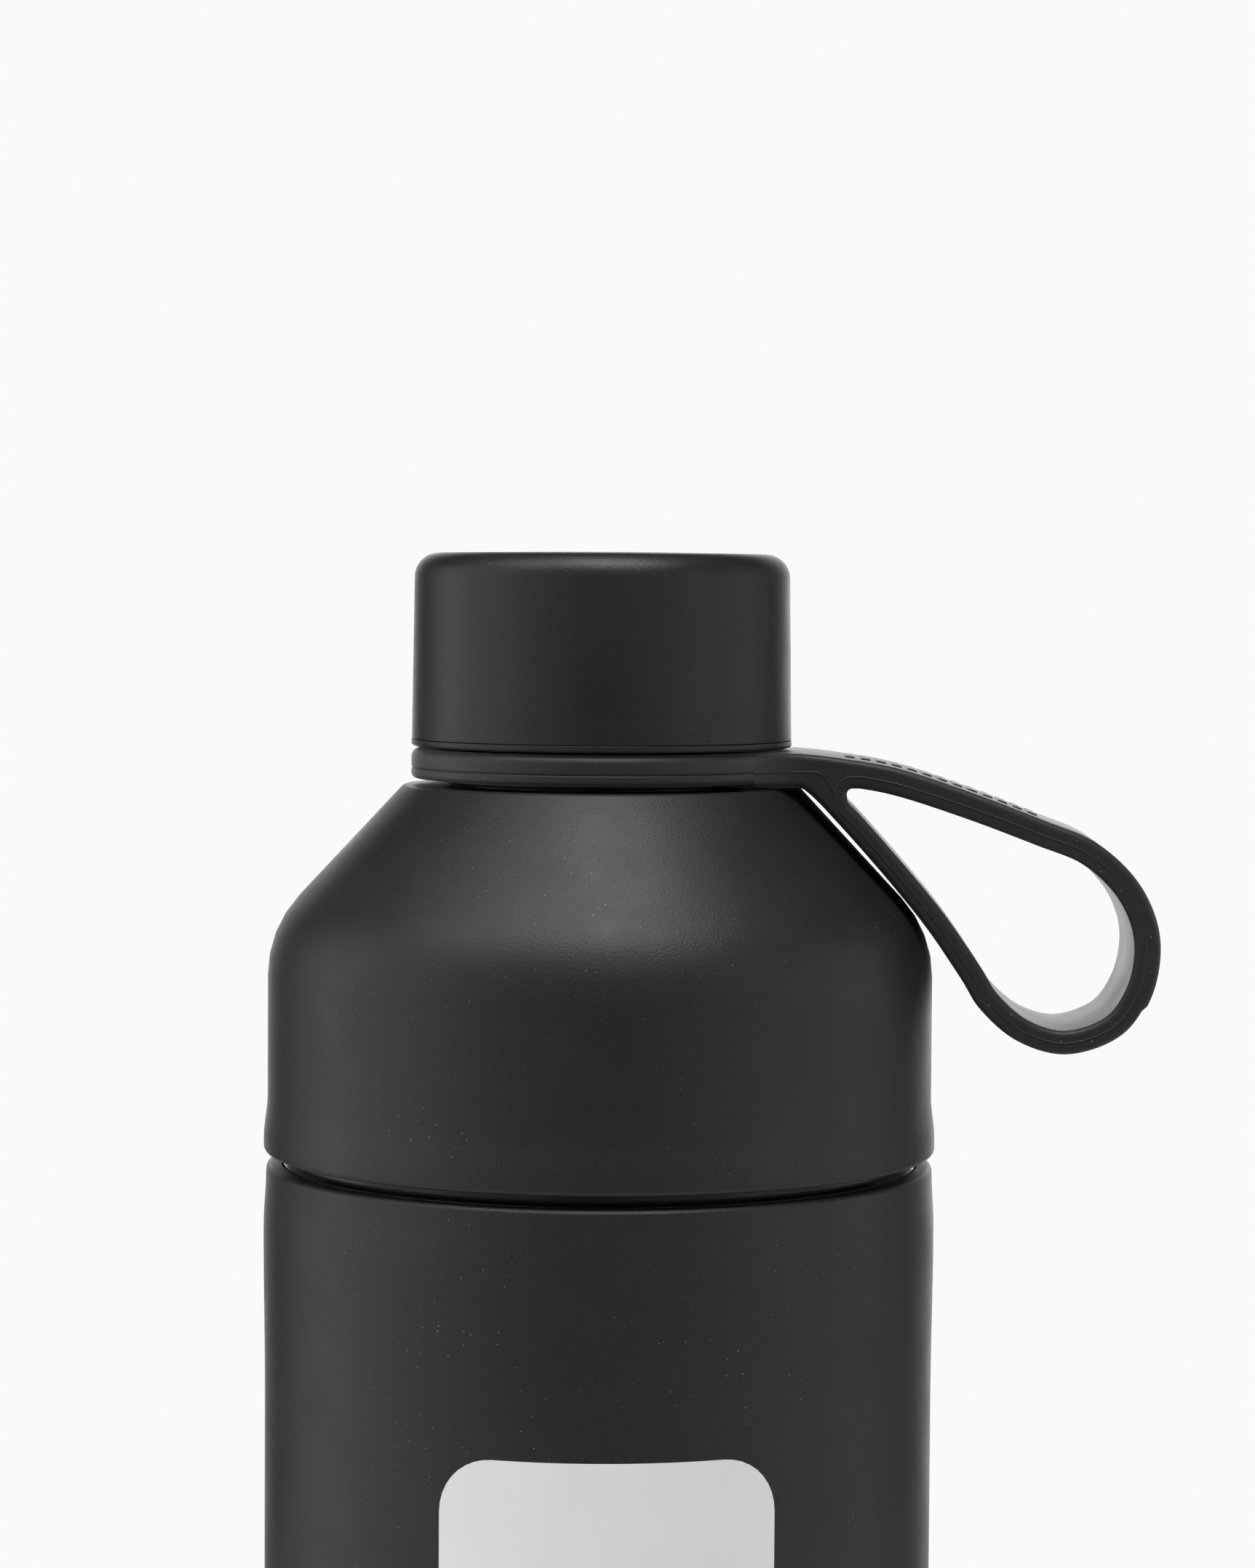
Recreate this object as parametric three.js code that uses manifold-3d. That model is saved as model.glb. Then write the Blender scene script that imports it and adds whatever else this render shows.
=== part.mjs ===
// A one-litre vacuum-insulated water bottle in three pieces that screw together: a steel body, a steel-clad
// chamber with a drinking spout, and a cap. A silicone strap with a carrying loop turns round the neck.
// Millimetres, +Z up the bottle's axis, origin at the middle of the base pad's underside, loop towards +X.
import * as THREE from "three";
import { mergeVertices } from "three/addons/utils/BufferGeometryUtils.js";
import Module from "manifold-3d";

const wasm = await Module();
wasm.setup();

// ---- Driving dimensions ----
const FIT_GAP = 0.3; // between pieces that touch on the real bottle
const BODY_RADIUS = 44;
const BODY_HEIGHT = 204; // from the table to the body's lip
const STEEL_WALL = 0.5;
const VACUUM_GAP = 3;
const FOOT_HEIGHT = 1; // of the steel above the table
const FOOT_ROUND = 5; // of the corner round the foot
const FOOT_WIDTH = 7; // from the outside in to the hole that the base dish closes
const LIP_ROUND = 1.2; // of the body's rolled edge at the seam
const SEAM_FLARE = 0.2; // how much wider the body is at the seam than lower down
const SEAM_GAP = 1.5;

const LINER_FLOOR = 12; // height of the liner's wet floor
const LINER_CORNER = 10;
const MOUTH_STEP = 5.8; // from the outside in to the screw mouth
const MOUTH_DEPTH = 17;
const FLANGE_STEP = 2.4; // from the outside in to where the liner meets the rolled edge

const PAD_MARGIN = 4; // from the hole in the foot in to the pad
const DISH_HEIGHT = 3; // of the dish's underside above the table
const DIMPLE_RADIUS = 4.5;
const DIMPLE_DEPTH = 2.8;
const EXHAUST_RADIUS = 1;
const GETTER_RADIUS = 6;
const GETTER_HEIGHT = 3;

const SKIRT_STEP = 0.3; // how much narrower the chamber is than the body
const CHAMBER_HEIGHT = 48.2; // from its lower edge to the ledge under the strap
const HEM_ROUND = 1.2;
const HEM_RETURN = 1.2; // how far the hem turns in past its round
const LEDGE_MARGIN = 1; // from the strap's ring out to the edge of the ledge
const CONE_ANGLE = THREE.MathUtils.degToRad(42.9); // between the cone and the axis
const SHOULDER_ROUND = 15; // between the cone and the skirt
const MOULDED_WALL = 1.5;
const SCREW_SKIRT = 14; // how far the chamber reaches down into the body
const GASKET_WIDTH = 3.3;

const SPOUT_BORE = 16;
const SPOUT_WALL = 2.2;
const SPOUT_HEIGHT = 20.2; // from the ledge to the drinking lip
const COLLAR_STEP = 2.8; // from the spout's wall out to the collar that the strap turns on
const BEAD = 0.9; // how far the collar's bead stands out, to hold the strap on
const BEAD_HEIGHT = 1.2;
const SNAP = 0.8; // how far the spout's lower edge catches under the moulding
const SPOUT_SEAL_THICKNESS = 0.8;

const STRAP_WIDTH = 22;
const STRAP_THICKNESS_ABOVE = 3.6; // of the loop where it leaves the ring above
const STRAP_THICKNESS_BELOW = 2.8; // and where it comes back below
const RING_WALL = 3.7;
const RING_HEIGHT = 3.9;
const RING_LIFT = 0.9; // above the ledge
const RING_GROOVE = 0.4;
const FLEX_REACH = 3.6; // from the ring to the line that the loop bends on
const KNUCKLE_RADIUS = 1.9;
const FLEX_ANGLE = 60; // degrees that the loop can be lifted
const STRAP_REST = 0.4; // least gap between the loop and the shoulder it lies along
// The middle of the loop's band, from the ring round to the ring again. Each point is measured from the
// ledge's edge: down the cone, then out from it.
const LOOP_LINE = [
  [-3.3, 1],
  [1.8, 5.4],
  [7.7, 9.9],
  [16.4, 14.8],
  [25, 19.1],
  [31, 21.9],
  [37, 22.5],
  [42.1, 21.2],
  [45.9, 18.5],
  [48.8, 14.2],
  [49.8, 9],
  [47.3, 3.3],
  [42.4, 0.2],
  [36.8, -0.5],
  [32.3, 0.3],
  [24.8, 1.4],
  [17.3, 1.9],
  [9.9, 2.1],
  [3.3, 2.1],
];
const LOOP_CROTCH = [4.7, 3.7]; // where the two branches of the loop part, measured the same way

const CAP_TAPER = 0.4; // how much narrower the cap is at the top
const CAP_HEIGHT = 25.5;
const CAP_ROUND = 2.8;
const CAP_CROWN = 0.25;
const CAP_WALL = 1.7;
const CAP_BAND = 1.1; // height of the insert's edge that shows below the cap
const CAP_SEAL_THICKNESS = 1.5;
const CAP_SEAL_OVERHANG = 1;

// A thread is a ridge of trapezoid section: how far it stands out, and half its height at root and crest.
const CAP_THREAD = { pitch: 6, turns: 1.25, depth: 1.2, rootHalf: 1, crestHalf: 0.5 };
const MOUTH_THREAD = { pitch: 6, turns: 1, depth: 1.4, rootHalf: 1.1, crestHalf: 0.6 };
const THREAD_PLAY = 0.6; // radially, from each crest to the other piece's wall
const THREAD_MARGIN = 2; // from a thread to the end of the wall it stands on

const LARGE_ROUND = 36; // facets round a piece as wide as the body
const SMALL_ROUND = 32; // and round one as wide as the neck
const ARC_STEPS = 2;
const LOOP_STEPS = 40;

// ---- Levels and radii that follow ----
const SEAM = BODY_HEIGHT + SEAM_GAP; // the chamber's lower edge
const LEDGE = SEAM + CHAMBER_HEIGHT;
const RING_FOOT = LEDGE + RING_LIFT;
const RING_TOP = RING_FOOT + RING_HEIGHT;
const CAP_FOOT = RING_TOP + FIT_GAP;
const CAP_TOP = CAP_FOOT + CAP_HEIGHT;
const SPOUT_LIP = LEDGE + SPOUT_HEIGHT;
const SPOUT_RADIUS = SPOUT_BORE + SPOUT_WALL;
const NECK_HOLE = SPOUT_RADIUS + SNAP; // in the steel and in the moulding under it
const COLLAR_RADIUS = SPOUT_RADIUS + COLLAR_STEP;
const RING_RADIUS = COLLAR_RADIUS + FIT_GAP + RING_WALL;
const CAP_RADIUS = RING_RADIUS; // at its lower edge
const LEDGE_RADIUS = RING_RADIUS + LEDGE_MARGIN;
const CHAMBER_RADIUS = BODY_RADIUS - SKIRT_STEP;
const SHOULDER_CENTRE = CHAMBER_RADIUS - SHOULDER_ROUND; // of the round, out from the axis
const CONE_LENGTH = // down its slope, from the ledge to the round
  (SHOULDER_CENTRE + SHOULDER_ROUND * Math.cos(CONE_ANGLE) - LEDGE_RADIUS) / Math.sin(CONE_ANGLE);
const FOOT_OPENING = BODY_RADIUS - FOOT_WIDTH;
const PAD_RADIUS = FOOT_OPENING - PAD_MARGIN;
const MOUTH_RADIUS = BODY_RADIUS - MOUTH_STEP;
const MOUTH_FLANGE = BODY_RADIUS - FLANGE_STEP;
const LINER_RADIUS = BODY_RADIUS - 2 * STEEL_WALL - VACUUM_GAP;
const MOUTH_FLOOR = BODY_HEIGHT - MOUTH_DEPTH;
const MOULDING_FLOOR = SEAM + STEEL_WALL + FIT_GAP; // underside of the ring that closes the chamber
const SKIRT_RADIUS = MOUTH_RADIUS - THREAD_PLAY - MOUTH_THREAD.depth;
const INSERT_BORE = SPOUT_RADIUS + THREAD_PLAY + CAP_THREAD.depth;
const INSERT_CEILING = SPOUT_LIP + CAP_SEAL_THICKNESS + 2 * FIT_GAP;
const INSERT_TOP = INSERT_CEILING + MOULDED_WALL;
// Each pair's lower ridge starts here and its upper one half a pitch higher.
const CAP_THREAD_FOOT = RING_TOP + THREAD_MARGIN;
const MOUTH_THREAD_FOOT = BODY_HEIGHT - THREAD_MARGIN - MOUTH_THREAD.pitch * (MOUTH_THREAD.turns + 0.5);
const FLEX_X = RING_RADIUS + FLEX_REACH;
const FLEX_Z = RING_FOOT + RING_HEIGHT / 2;

// ---- Finishes ----
const finish = (color, roughness, metalness = 0) =>
  new THREE.MeshStandardMaterial({ color, roughness, metalness });
const COATED_STEEL = finish(0x1b1b1c, 0.6);
const BARE_STEEL = finish(0xb4b6b8, 0.3, 1);
const CAP_PLASTIC = finish(0x1d1d1e, 0.55);
const INNER_PLASTIC = finish(0x2a2b2d, 0.45);
const STRAP_SILICONE = finish(0x222223, 0.6);
const SEAL_SILICONE = finish(0x17171a, 0.65);
const FOAM = finish(0xe9e6dc, 0.9);
const GETTER_METAL = finish(0x8c8f92, 0.45, 1);
const SEALING_GLASS = finish(0x3c4a46, 0.15);

// ---- Tools ----
const point = (r, z) => new THREE.Vector2(r, z);

// The points of an outline drawn with path calls.
function outline(draw) {
  const path = new THREE.Path();
  draw(path);
  const points = path.getPoints(ARC_STEPS);
  return points.filter((p, i) => i === 0 || p.distanceTo(points[i - 1]) > 1e-6);
}

// The same line moved sideways: to its left as it runs by a positive distance, to its right by a negative
// one. The distance may change from point to point.
function offsetLine(points, distanceAt) {
  return points.map((p, i) => {
    const before = points[Math.max(i - 1, 0)];
    const after = points[Math.min(i + 1, points.length - 1)];
    const leaving = (i < points.length - 1 ? after.clone().sub(p) : p.clone().sub(before)).normalize();
    const arriving = (i > 0 ? p.clone().sub(before) : leaving.clone()).normalize();
    const bisector = arriving.clone().add(leaving).normalize();
    const reach = distanceAt(i) / bisector.dot(arriving);
    return point(p.x - bisector.y * reach, p.y + bisector.x * reach);
  });
}

// A closed profile turned round the Z axis. A profile that touches the axis starts and ends on it.
function revolve(profile, segments) {
  const turned = [...profile];
  const onAxis = turned[0].x === 0;
  if (!onAxis) turned.push(turned[0].clone());
  if (THREE.ShapeUtils.area(turned) < 0) turned.reverse();
  return new THREE.LatheGeometry(turned, segments).rotateX(Math.PI / 2);
}

// A sheet of even thickness, from one face's line, with the other face to that line's left.
function sheet(line, wall, segments) {
  const other = offsetLine(line, () => wall);
  if (line[0].x === 0) other[0].x = 0;
  return revolve([...line.reverse(), ...other], segments);
}

const washer = (inner, outer, low, high, segments) =>
  revolve([point(inner, low), point(outer, low), point(outer, high), point(inner, high)], segments);

// A helical ridge that stands out from a round wall, or in from a bore where outward is -1.
// It rises anticlockwise and fades out at both ends. Its root is sunk into the wall.
function threadRidge(thread, wallRadius, outward, startZ, segments) {
  const sunk = 0.35;
  const section = new THREE.Shape([
    point(-sunk, -thread.rootHalf),
    point(thread.depth, -thread.crestHalf),
    point(thread.depth, thread.crestHalf),
    point(-sunk, thread.rootHalf),
  ]);
  const sweep = thread.turns * 2 * Math.PI;
  const steps = Math.round(thread.turns * segments);
  const fade = (3 * sweep) / steps;
  const ridge = new THREE.ExtrudeGeometry(section, { depth: sweep, steps, bevelEnabled: false });
  const places = ridge.getAttribute("position");
  for (let i = 0; i < places.count; i++) {
    const along = outward > 0 ? sweep - places.getZ(i) : places.getZ(i);
    const height = Math.min(1, along / fade + 0.1, (sweep - along) / fade + 0.1);
    const out = places.getX(i) > 0 ? places.getX(i) * height : places.getX(i);
    const radius = wallRadius + outward * out;
    const rise = startZ + (thread.pitch * along) / (2 * Math.PI);
    places.setXYZ(i, radius * Math.cos(along), radius * Math.sin(along), rise + places.getY(i));
  }
  return ridge;
}

// An outline in the XZ plane, given as (x, z), made as wide as the strap across Y.
function acrossStrap(shape) {
  const across = { depth: STRAP_WIDTH, bevelEnabled: false, curveSegments: 5 };
  const slab = new THREE.ExtrudeGeometry(shape, across);
  return slab.translate(0, 0, -STRAP_WIDTH / 2).rotateX(Math.PI / 2);
}

function solid(geometry) {
  const bare = geometry.clone();
  bare.deleteAttribute("normal");
  bare.deleteAttribute("uv");
  const merged = mergeVertices(bare, 1e-4);
  const corners = merged.index.array;
  const kept = [];
  for (let i = 0; i < corners.length; i += 3) {
    const [a, b, c] = corners.slice(i, i + 3);
    if (a !== b && b !== c && c !== a) kept.push(a, b, c);
  }
  return new wasm.Manifold(
    new wasm.Mesh({
      numProp: 3,
      vertProperties: new Float32Array(merged.getAttribute("position").array),
      triVerts: new Uint32Array(kept),
    }),
  );
}

function fromSolid(made) {
  const mesh = made.getMesh();
  const geometry = new THREE.BufferGeometry();
  geometry.setAttribute("position", new THREE.BufferAttribute(mesh.vertProperties, 3));
  geometry.setIndex(new THREE.BufferAttribute(mesh.triVerts, 1));
  geometry.computeVertexNormals();
  return geometry;
}

const joined = (first, second) => fromSolid(solid(first).add(solid(second)));

const bottle = new THREE.Group();

function add(name, geometry, material) {
  const mesh = new THREE.Mesh(geometry, material);
  mesh.name = name;
  bottle.add(mesh);
}

// ---- Body ----
function outerShell() {
  const widest = BODY_RADIUS + SEAM_FLARE;
  const skin = outline((path) => {
    path.moveTo(FOOT_OPENING, FOOT_HEIGHT);
    path.lineTo(BODY_RADIUS - FOOT_ROUND, FOOT_HEIGHT);
    path.absarc(BODY_RADIUS - FOOT_ROUND, FOOT_HEIGHT + FOOT_ROUND, FOOT_ROUND, -Math.PI / 2, 0);
    path.lineTo(BODY_RADIUS, BODY_HEIGHT - 25);
    path.lineTo(widest, BODY_HEIGHT - LIP_ROUND);
    path.absarc(widest - LIP_ROUND, BODY_HEIGHT - LIP_ROUND, LIP_ROUND, 0, Math.PI / 2);
    path.lineTo(MOUTH_FLANGE + FIT_GAP, BODY_HEIGHT);
  });
  return sheet(skin, STEEL_WALL, LARGE_ROUND);
}

function innerLiner() {
  const wet = outline((path) => {
    path.moveTo(0, LINER_FLOOR);
    path.lineTo(LINER_RADIUS - LINER_CORNER, LINER_FLOOR);
    path.absarc(LINER_RADIUS - LINER_CORNER, LINER_FLOOR + LINER_CORNER, LINER_CORNER, -Math.PI / 2, 0);
    path.lineTo(LINER_RADIUS, MOUTH_FLOOR - 4);
    path.lineTo(MOUTH_RADIUS, MOUTH_FLOOR);
    path.lineTo(MOUTH_RADIUS, BODY_HEIGHT - 0.8);
    path.lineTo(MOUTH_RADIUS + 0.8, BODY_HEIGHT);
    path.lineTo(MOUTH_FLANGE, BODY_HEIGHT);
  });
  const start = MOUTH_THREAD_FOOT + MOUTH_THREAD.pitch / 2;
  const ridge = threadRidge(MOUTH_THREAD, MOUTH_RADIUS, -1, start, LARGE_ROUND);
  return joined(sheet(wet, -STEEL_WALL, LARGE_ROUND), ridge);
}

function baseDish() {
  const under = [
    point(EXHAUST_RADIUS, DISH_HEIGHT + DIMPLE_DEPTH),
    point(DIMPLE_RADIUS, DISH_HEIGHT + DIMPLE_DEPTH),
    point(DIMPLE_RADIUS + 1.5, DISH_HEIGHT),
    point(FOOT_OPENING - FIT_GAP - 2, DISH_HEIGHT),
    point(FOOT_OPENING - FIT_GAP - 1, FOOT_HEIGHT),
    point(FOOT_OPENING - FIT_GAP, FOOT_HEIGHT),
  ];
  return sheet(under, STEEL_WALL, LARGE_ROUND);
}

function exhaustSeal() {
  const head = DIMPLE_RADIUS - 2;
  const shank = EXHAUST_RADIUS - FIT_GAP;
  const seat = DISH_HEIGHT + DIMPLE_DEPTH - FIT_GAP;
  const tip = seat + STEEL_WALL + 2 * FIT_GAP;
  const bead = [
    point(0, seat - 1.2),
    point(head - 0.6, seat - 1),
    point(head, seat),
    point(shank, seat),
    point(shank, tip),
    point(0, tip),
  ];
  return revolve(bead, 16);
}

function getterCapsule() {
  const top = LINER_FLOOR - STEEL_WALL - FIT_GAP;
  const rim = top - GETTER_HEIGHT;
  const cup = [
    point(0, rim + 0.8),
    point(GETTER_RADIUS - 1, rim + 0.8),
    point(GETTER_RADIUS - 0.6, rim),
    point(GETTER_RADIUS, rim),
    point(GETTER_RADIUS, top),
    point(0, top),
  ];
  return revolve(cup, 20);
}

function basePad() {
  const top = DISH_HEIGHT - FIT_GAP;
  return revolve(
    [point(0, 0), point(PAD_RADIUS - 1, 0), point(PAD_RADIUS, 1), point(PAD_RADIUS, top), point(0, top)],
    LARGE_ROUND,
  );
}

// ---- Chamber ----
// Draws the chamber's ledge, cone, shoulder and skirt from a point on the ledge down to a height above the
// seam, with everything moved in from the outside by an inset.
function drawShoulder(path, inset, fromRadius, toHeight) {
  const centreZ = LEDGE - CONE_LENGTH * Math.cos(CONE_ANGLE) - SHOULDER_ROUND * Math.sin(CONE_ANGLE);
  const edge = inset * Math.tan((Math.PI / 2 - CONE_ANGLE) / 2);
  path.moveTo(fromRadius, LEDGE - inset);
  path.lineTo(LEDGE_RADIUS - edge, LEDGE - inset);
  path.absarc(SHOULDER_CENTRE, centreZ, SHOULDER_ROUND - inset, CONE_ANGLE, 0, true);
  path.lineTo(CHAMBER_RADIUS - inset, SEAM + toHeight);
}

function chamberShell() {
  const hem = BODY_RADIUS + SEAM_FLARE - HEM_ROUND;
  const skin = outline((path) => {
    drawShoulder(path, 0, NECK_HOLE, 12);
    path.lineTo(hem + HEM_ROUND, SEAM + HEM_ROUND);
    path.absarc(hem, SEAM + HEM_ROUND, HEM_ROUND, 0, -Math.PI / 2, true);
    path.lineTo(hem - HEM_RETURN, SEAM);
  });
  return sheet(skin, -STEEL_WALL, LARGE_ROUND);
}

function chamberMoulding() {
  const inset = STEEL_WALL + FIT_GAP;
  const outside = outline((path) => {
    drawShoulder(path, inset, NECK_HOLE, 2);
    path.lineTo(CHAMBER_RADIUS - inset, MOULDING_FLOOR);
    path.lineTo(SKIRT_RADIUS, MOULDING_FLOOR);
    path.lineTo(SKIRT_RADIUS, SEAM - SCREW_SKIRT);
  });
  const ridge = threadRidge(MOUTH_THREAD, SKIRT_RADIUS, 1, MOUTH_THREAD_FOOT, LARGE_ROUND);
  return joined(sheet(outside, -MOULDED_WALL, LARGE_ROUND), ridge);
}

function seamGasket() {
  const inner = SKIRT_RADIUS + MOUTH_THREAD.depth + THREAD_PLAY;
  return washer(inner, inner + GASKET_WIDTH, BODY_HEIGHT + FIT_GAP, MOULDING_FLOOR - FIT_GAP, LARGE_ROUND);
}

function spout() {
  const snapTop = LEDGE - STEEL_WALL - FIT_GAP - MOULDED_WALL - FIT_GAP;
  const flangeFoot = LEDGE + SPOUT_SEAL_THICKNESS + 2 * FIT_GAP;
  const flangeTop = RING_TOP;
  const catchRadius = NECK_HOLE + SNAP;
  const tube = [
    point(SPOUT_BORE, snapTop - 3),
    point(SPOUT_RADIUS, snapTop - 3),
    point(catchRadius, snapTop - 1.5),
    point(catchRadius, snapTop),
    point(NECK_HOLE - FIT_GAP, snapTop),
    point(NECK_HOLE - FIT_GAP, flangeFoot),
    point(COLLAR_RADIUS, flangeFoot),
    point(COLLAR_RADIUS, flangeTop - BEAD_HEIGHT),
    point(COLLAR_RADIUS + BEAD, flangeTop - BEAD_HEIGHT / 2),
    point(COLLAR_RADIUS + BEAD, flangeTop),
    point(SPOUT_RADIUS, flangeTop),
    point(SPOUT_RADIUS, SPOUT_LIP - 0.8),
    point(SPOUT_RADIUS - 0.8, SPOUT_LIP),
    point(SPOUT_BORE + 0.8, SPOUT_LIP),
    point(SPOUT_BORE, SPOUT_LIP - 0.8),
  ];
  const ridge = threadRidge(CAP_THREAD, SPOUT_RADIUS, 1, CAP_THREAD_FOOT + CAP_THREAD.pitch / 2, SMALL_ROUND);
  return joined(revolve(tube, SMALL_ROUND), ridge);
}

function spoutSeal() {
  const low = LEDGE + FIT_GAP;
  return washer(NECK_HOLE, COLLAR_RADIUS - FIT_GAP, low, low + SPOUT_SEAL_THICKNESS, SMALL_ROUND);
}

// ---- Strap ----
function neckRing() {
  const middle = RING_FOOT + RING_HEIGHT / 2;
  const bore = COLLAR_RADIUS + FIT_GAP;
  const step = RING_TOP - BEAD_HEIGHT - FIT_GAP;
  const section = [
    point(bore, RING_FOOT),
    point(RING_RADIUS - 0.6, RING_FOOT),
    point(RING_RADIUS, RING_FOOT + 0.6),
    point(RING_RADIUS, middle - 0.3),
    point(RING_RADIUS - RING_GROOVE, middle),
    point(RING_RADIUS, middle + 0.3),
    point(RING_RADIUS, RING_TOP - 0.6),
    point(RING_RADIUS - 0.6, RING_TOP),
    point(bore + BEAD, RING_TOP),
    point(bore + BEAD, step + BEAD_HEIGHT / 2),
    point(bore, step),
  ];
  const tongue = new THREE.Shape();
  tongue.moveTo(COLLAR_RADIUS - 4, FLEX_Z - KNUCKLE_RADIUS);
  tongue.absarc(FLEX_X, FLEX_Z, KNUCKLE_RADIUS, -Math.PI / 2, Math.PI / 2);
  tongue.lineTo(COLLAR_RADIUS - 4, FLEX_Z + KNUCKLE_RADIUS);
  const hole = new THREE.CylinderGeometry(bore + BEAD + 1, bore + BEAD + 1, 20, SMALL_ROUND);
  const outsideRing = solid(acrossStrap(tongue)).subtract(
    solid(hole.rotateX(Math.PI / 2).translate(0, 0, middle)),
  );
  return fromSolid(solid(revolve(section, SMALL_ROUND)).add(outsideRing));
}

// A place beside the cone, as a point in the XZ plane.
const besideCone = ([down, out]) =>
  point(
    LEDGE_RADIUS + down * Math.sin(CONE_ANGLE) + out * Math.cos(CONE_ANGLE),
    LEDGE - down * Math.cos(CONE_ANGLE) + out * Math.sin(CONE_ANGLE),
  );

// A point of the band's middle beside the cone, moved out if the band would touch the cone or its round.
function clearOfShoulder([down, out]) {
  if (down < 0) return [down, out];
  const past = Math.max(down - CONE_LENGTH, 0);
  const fallAway = SHOULDER_ROUND - Math.sqrt(Math.max(SHOULDER_ROUND ** 2 - past ** 2, 0));
  return [down, Math.max(out, STRAP_REST + STRAP_THICKNESS_BELOW / 2 - fallAway)];
}

// The two edges of the loop's band in the XZ plane, the outer one first.
function loopEdges() {
  const middle = new THREE.SplineCurve(LOOP_LINE.map((place) => besideCone(clearOfShoulder(place))));
  const along = middle.getSpacedPoints(LOOP_STEPS);
  const half = (i) =>
    THREE.MathUtils.lerp(STRAP_THICKNESS_ABOVE, STRAP_THICKNESS_BELOW, i / LOOP_STEPS) / 2;
  const inside = offsetLine(along, (i) => -half(i));
  const crotch = besideCone(LOOP_CROTCH);
  return [offsetLine(along, half), [crotch, ...inside.filter((p) => p.x > crotch.x).reverse()]];
}

function strapLoop() {
  const [outside, inside] = loopEdges();
  const band = new THREE.Shape(outside);
  band.holes.push(new THREE.Path(inside));
  const clearance = KNUCKLE_RADIUS + FIT_GAP;
  const socket = new THREE.CylinderGeometry(clearance, clearance, 2 * STRAP_WIDTH, 20).translate(
    FLEX_X, 0, FLEX_Z,
  );
  // What the lifted loop would push into: a wedge above the knuckle, and the ring's side of it.
  const openTo = THREE.MathUtils.degToRad(110 - FLEX_ANGLE);
  const wedge = new THREE.Shape([
    point(FLEX_X, FLEX_Z - clearance),
    point(FLEX_X, FLEX_Z),
    point(FLEX_X + 12 * Math.cos(openTo), FLEX_Z + 12 * Math.sin(openTo)),
    point(FLEX_X - 12, FLEX_Z + 12 * Math.sin(openTo)),
    point(FLEX_X - 12, FLEX_Z - clearance),
  ]);
  return fromSolid(
    solid(acrossStrap(band)).subtract(solid(socket)).subtract(solid(acrossStrap(wedge).scale(1, 2, 1))),
  );
}

// ---- Cap ----
function capShell() {
  const top = CAP_RADIUS - CAP_TAPER - CAP_ROUND;
  const outside = outline((path) => {
    path.moveTo(0, CAP_TOP);
    path.lineTo(top, CAP_TOP - CAP_CROWN);
    path.absarc(top, CAP_TOP - CAP_CROWN - CAP_ROUND, CAP_ROUND, Math.PI / 2, 0, true);
    path.lineTo(CAP_RADIUS, CAP_FOOT + CAP_BAND + FIT_GAP);
  });
  return sheet(outside, -CAP_WALL, SMALL_ROUND);
}

function capInsert() {
  const outer = INSERT_BORE + MOULDED_WALL;
  const cup = [
    point(0, INSERT_CEILING),
    point(INSERT_BORE, INSERT_CEILING),
    point(INSERT_BORE, CAP_FOOT),
    point(CAP_RADIUS - 0.6, CAP_FOOT),
    point(CAP_RADIUS, CAP_FOOT + 0.6),
    point(CAP_RADIUS, CAP_FOOT + CAP_BAND),
    point(outer, CAP_FOOT + CAP_BAND),
    point(outer, INSERT_TOP),
    point(0, INSERT_TOP),
  ];
  const ridge = threadRidge(CAP_THREAD, INSERT_BORE, -1, CAP_THREAD_FOOT, SMALL_ROUND);
  return joined(revolve(cup, SMALL_ROUND), ridge);
}

function capFoam() {
  const radius = CAP_RADIUS - CAP_TAPER - CAP_WALL - CAP_ROUND;
  const low = INSERT_TOP + FIT_GAP;
  const high = CAP_TOP - CAP_CROWN - CAP_WALL - FIT_GAP;
  return revolve([point(0, low), point(radius, low), point(radius, high), point(0, high)], SMALL_ROUND);
}

function capSeal() {
  const low = SPOUT_LIP + FIT_GAP;
  return washer(
    SPOUT_BORE - CAP_SEAL_OVERHANG,
    SPOUT_RADIUS + CAP_SEAL_OVERHANG,
    low,
    low + CAP_SEAL_THICKNESS,
    SMALL_ROUND,
  );
}

add("outer_shell", outerShell(), COATED_STEEL);
add("inner_liner", innerLiner(), BARE_STEEL);
add("base_dish", baseDish(), BARE_STEEL);
add("exhaust_seal", exhaustSeal(), SEALING_GLASS);
add("getter_capsule", getterCapsule(), GETTER_METAL);
add("base_pad", basePad(), SEAL_SILICONE);
add("chamber_shell", chamberShell(), COATED_STEEL);
add("chamber_moulding", chamberMoulding(), INNER_PLASTIC);
add("seam_gasket", seamGasket(), SEAL_SILICONE);
add("spout", spout(), INNER_PLASTIC);
add("spout_seal", spoutSeal(), SEAL_SILICONE);
add("neck_ring", neckRing(), STRAP_SILICONE);
add("strap_loop", strapLoop(), STRAP_SILICONE);
add("cap_shell", capShell(), CAP_PLASTIC);
add("cap_insert", capInsert(), CAP_PLASTIC);
add("cap_foam", capFoam(), FOAM);
add("cap_seal", capSeal(), SEAL_SILICONE);

export default bottle;
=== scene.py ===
"""The looks of an insulated steel water bottle: coated steel, a moulded cap and a silicone strap.

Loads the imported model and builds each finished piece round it, in metres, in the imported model's own frame.
"""

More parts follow.
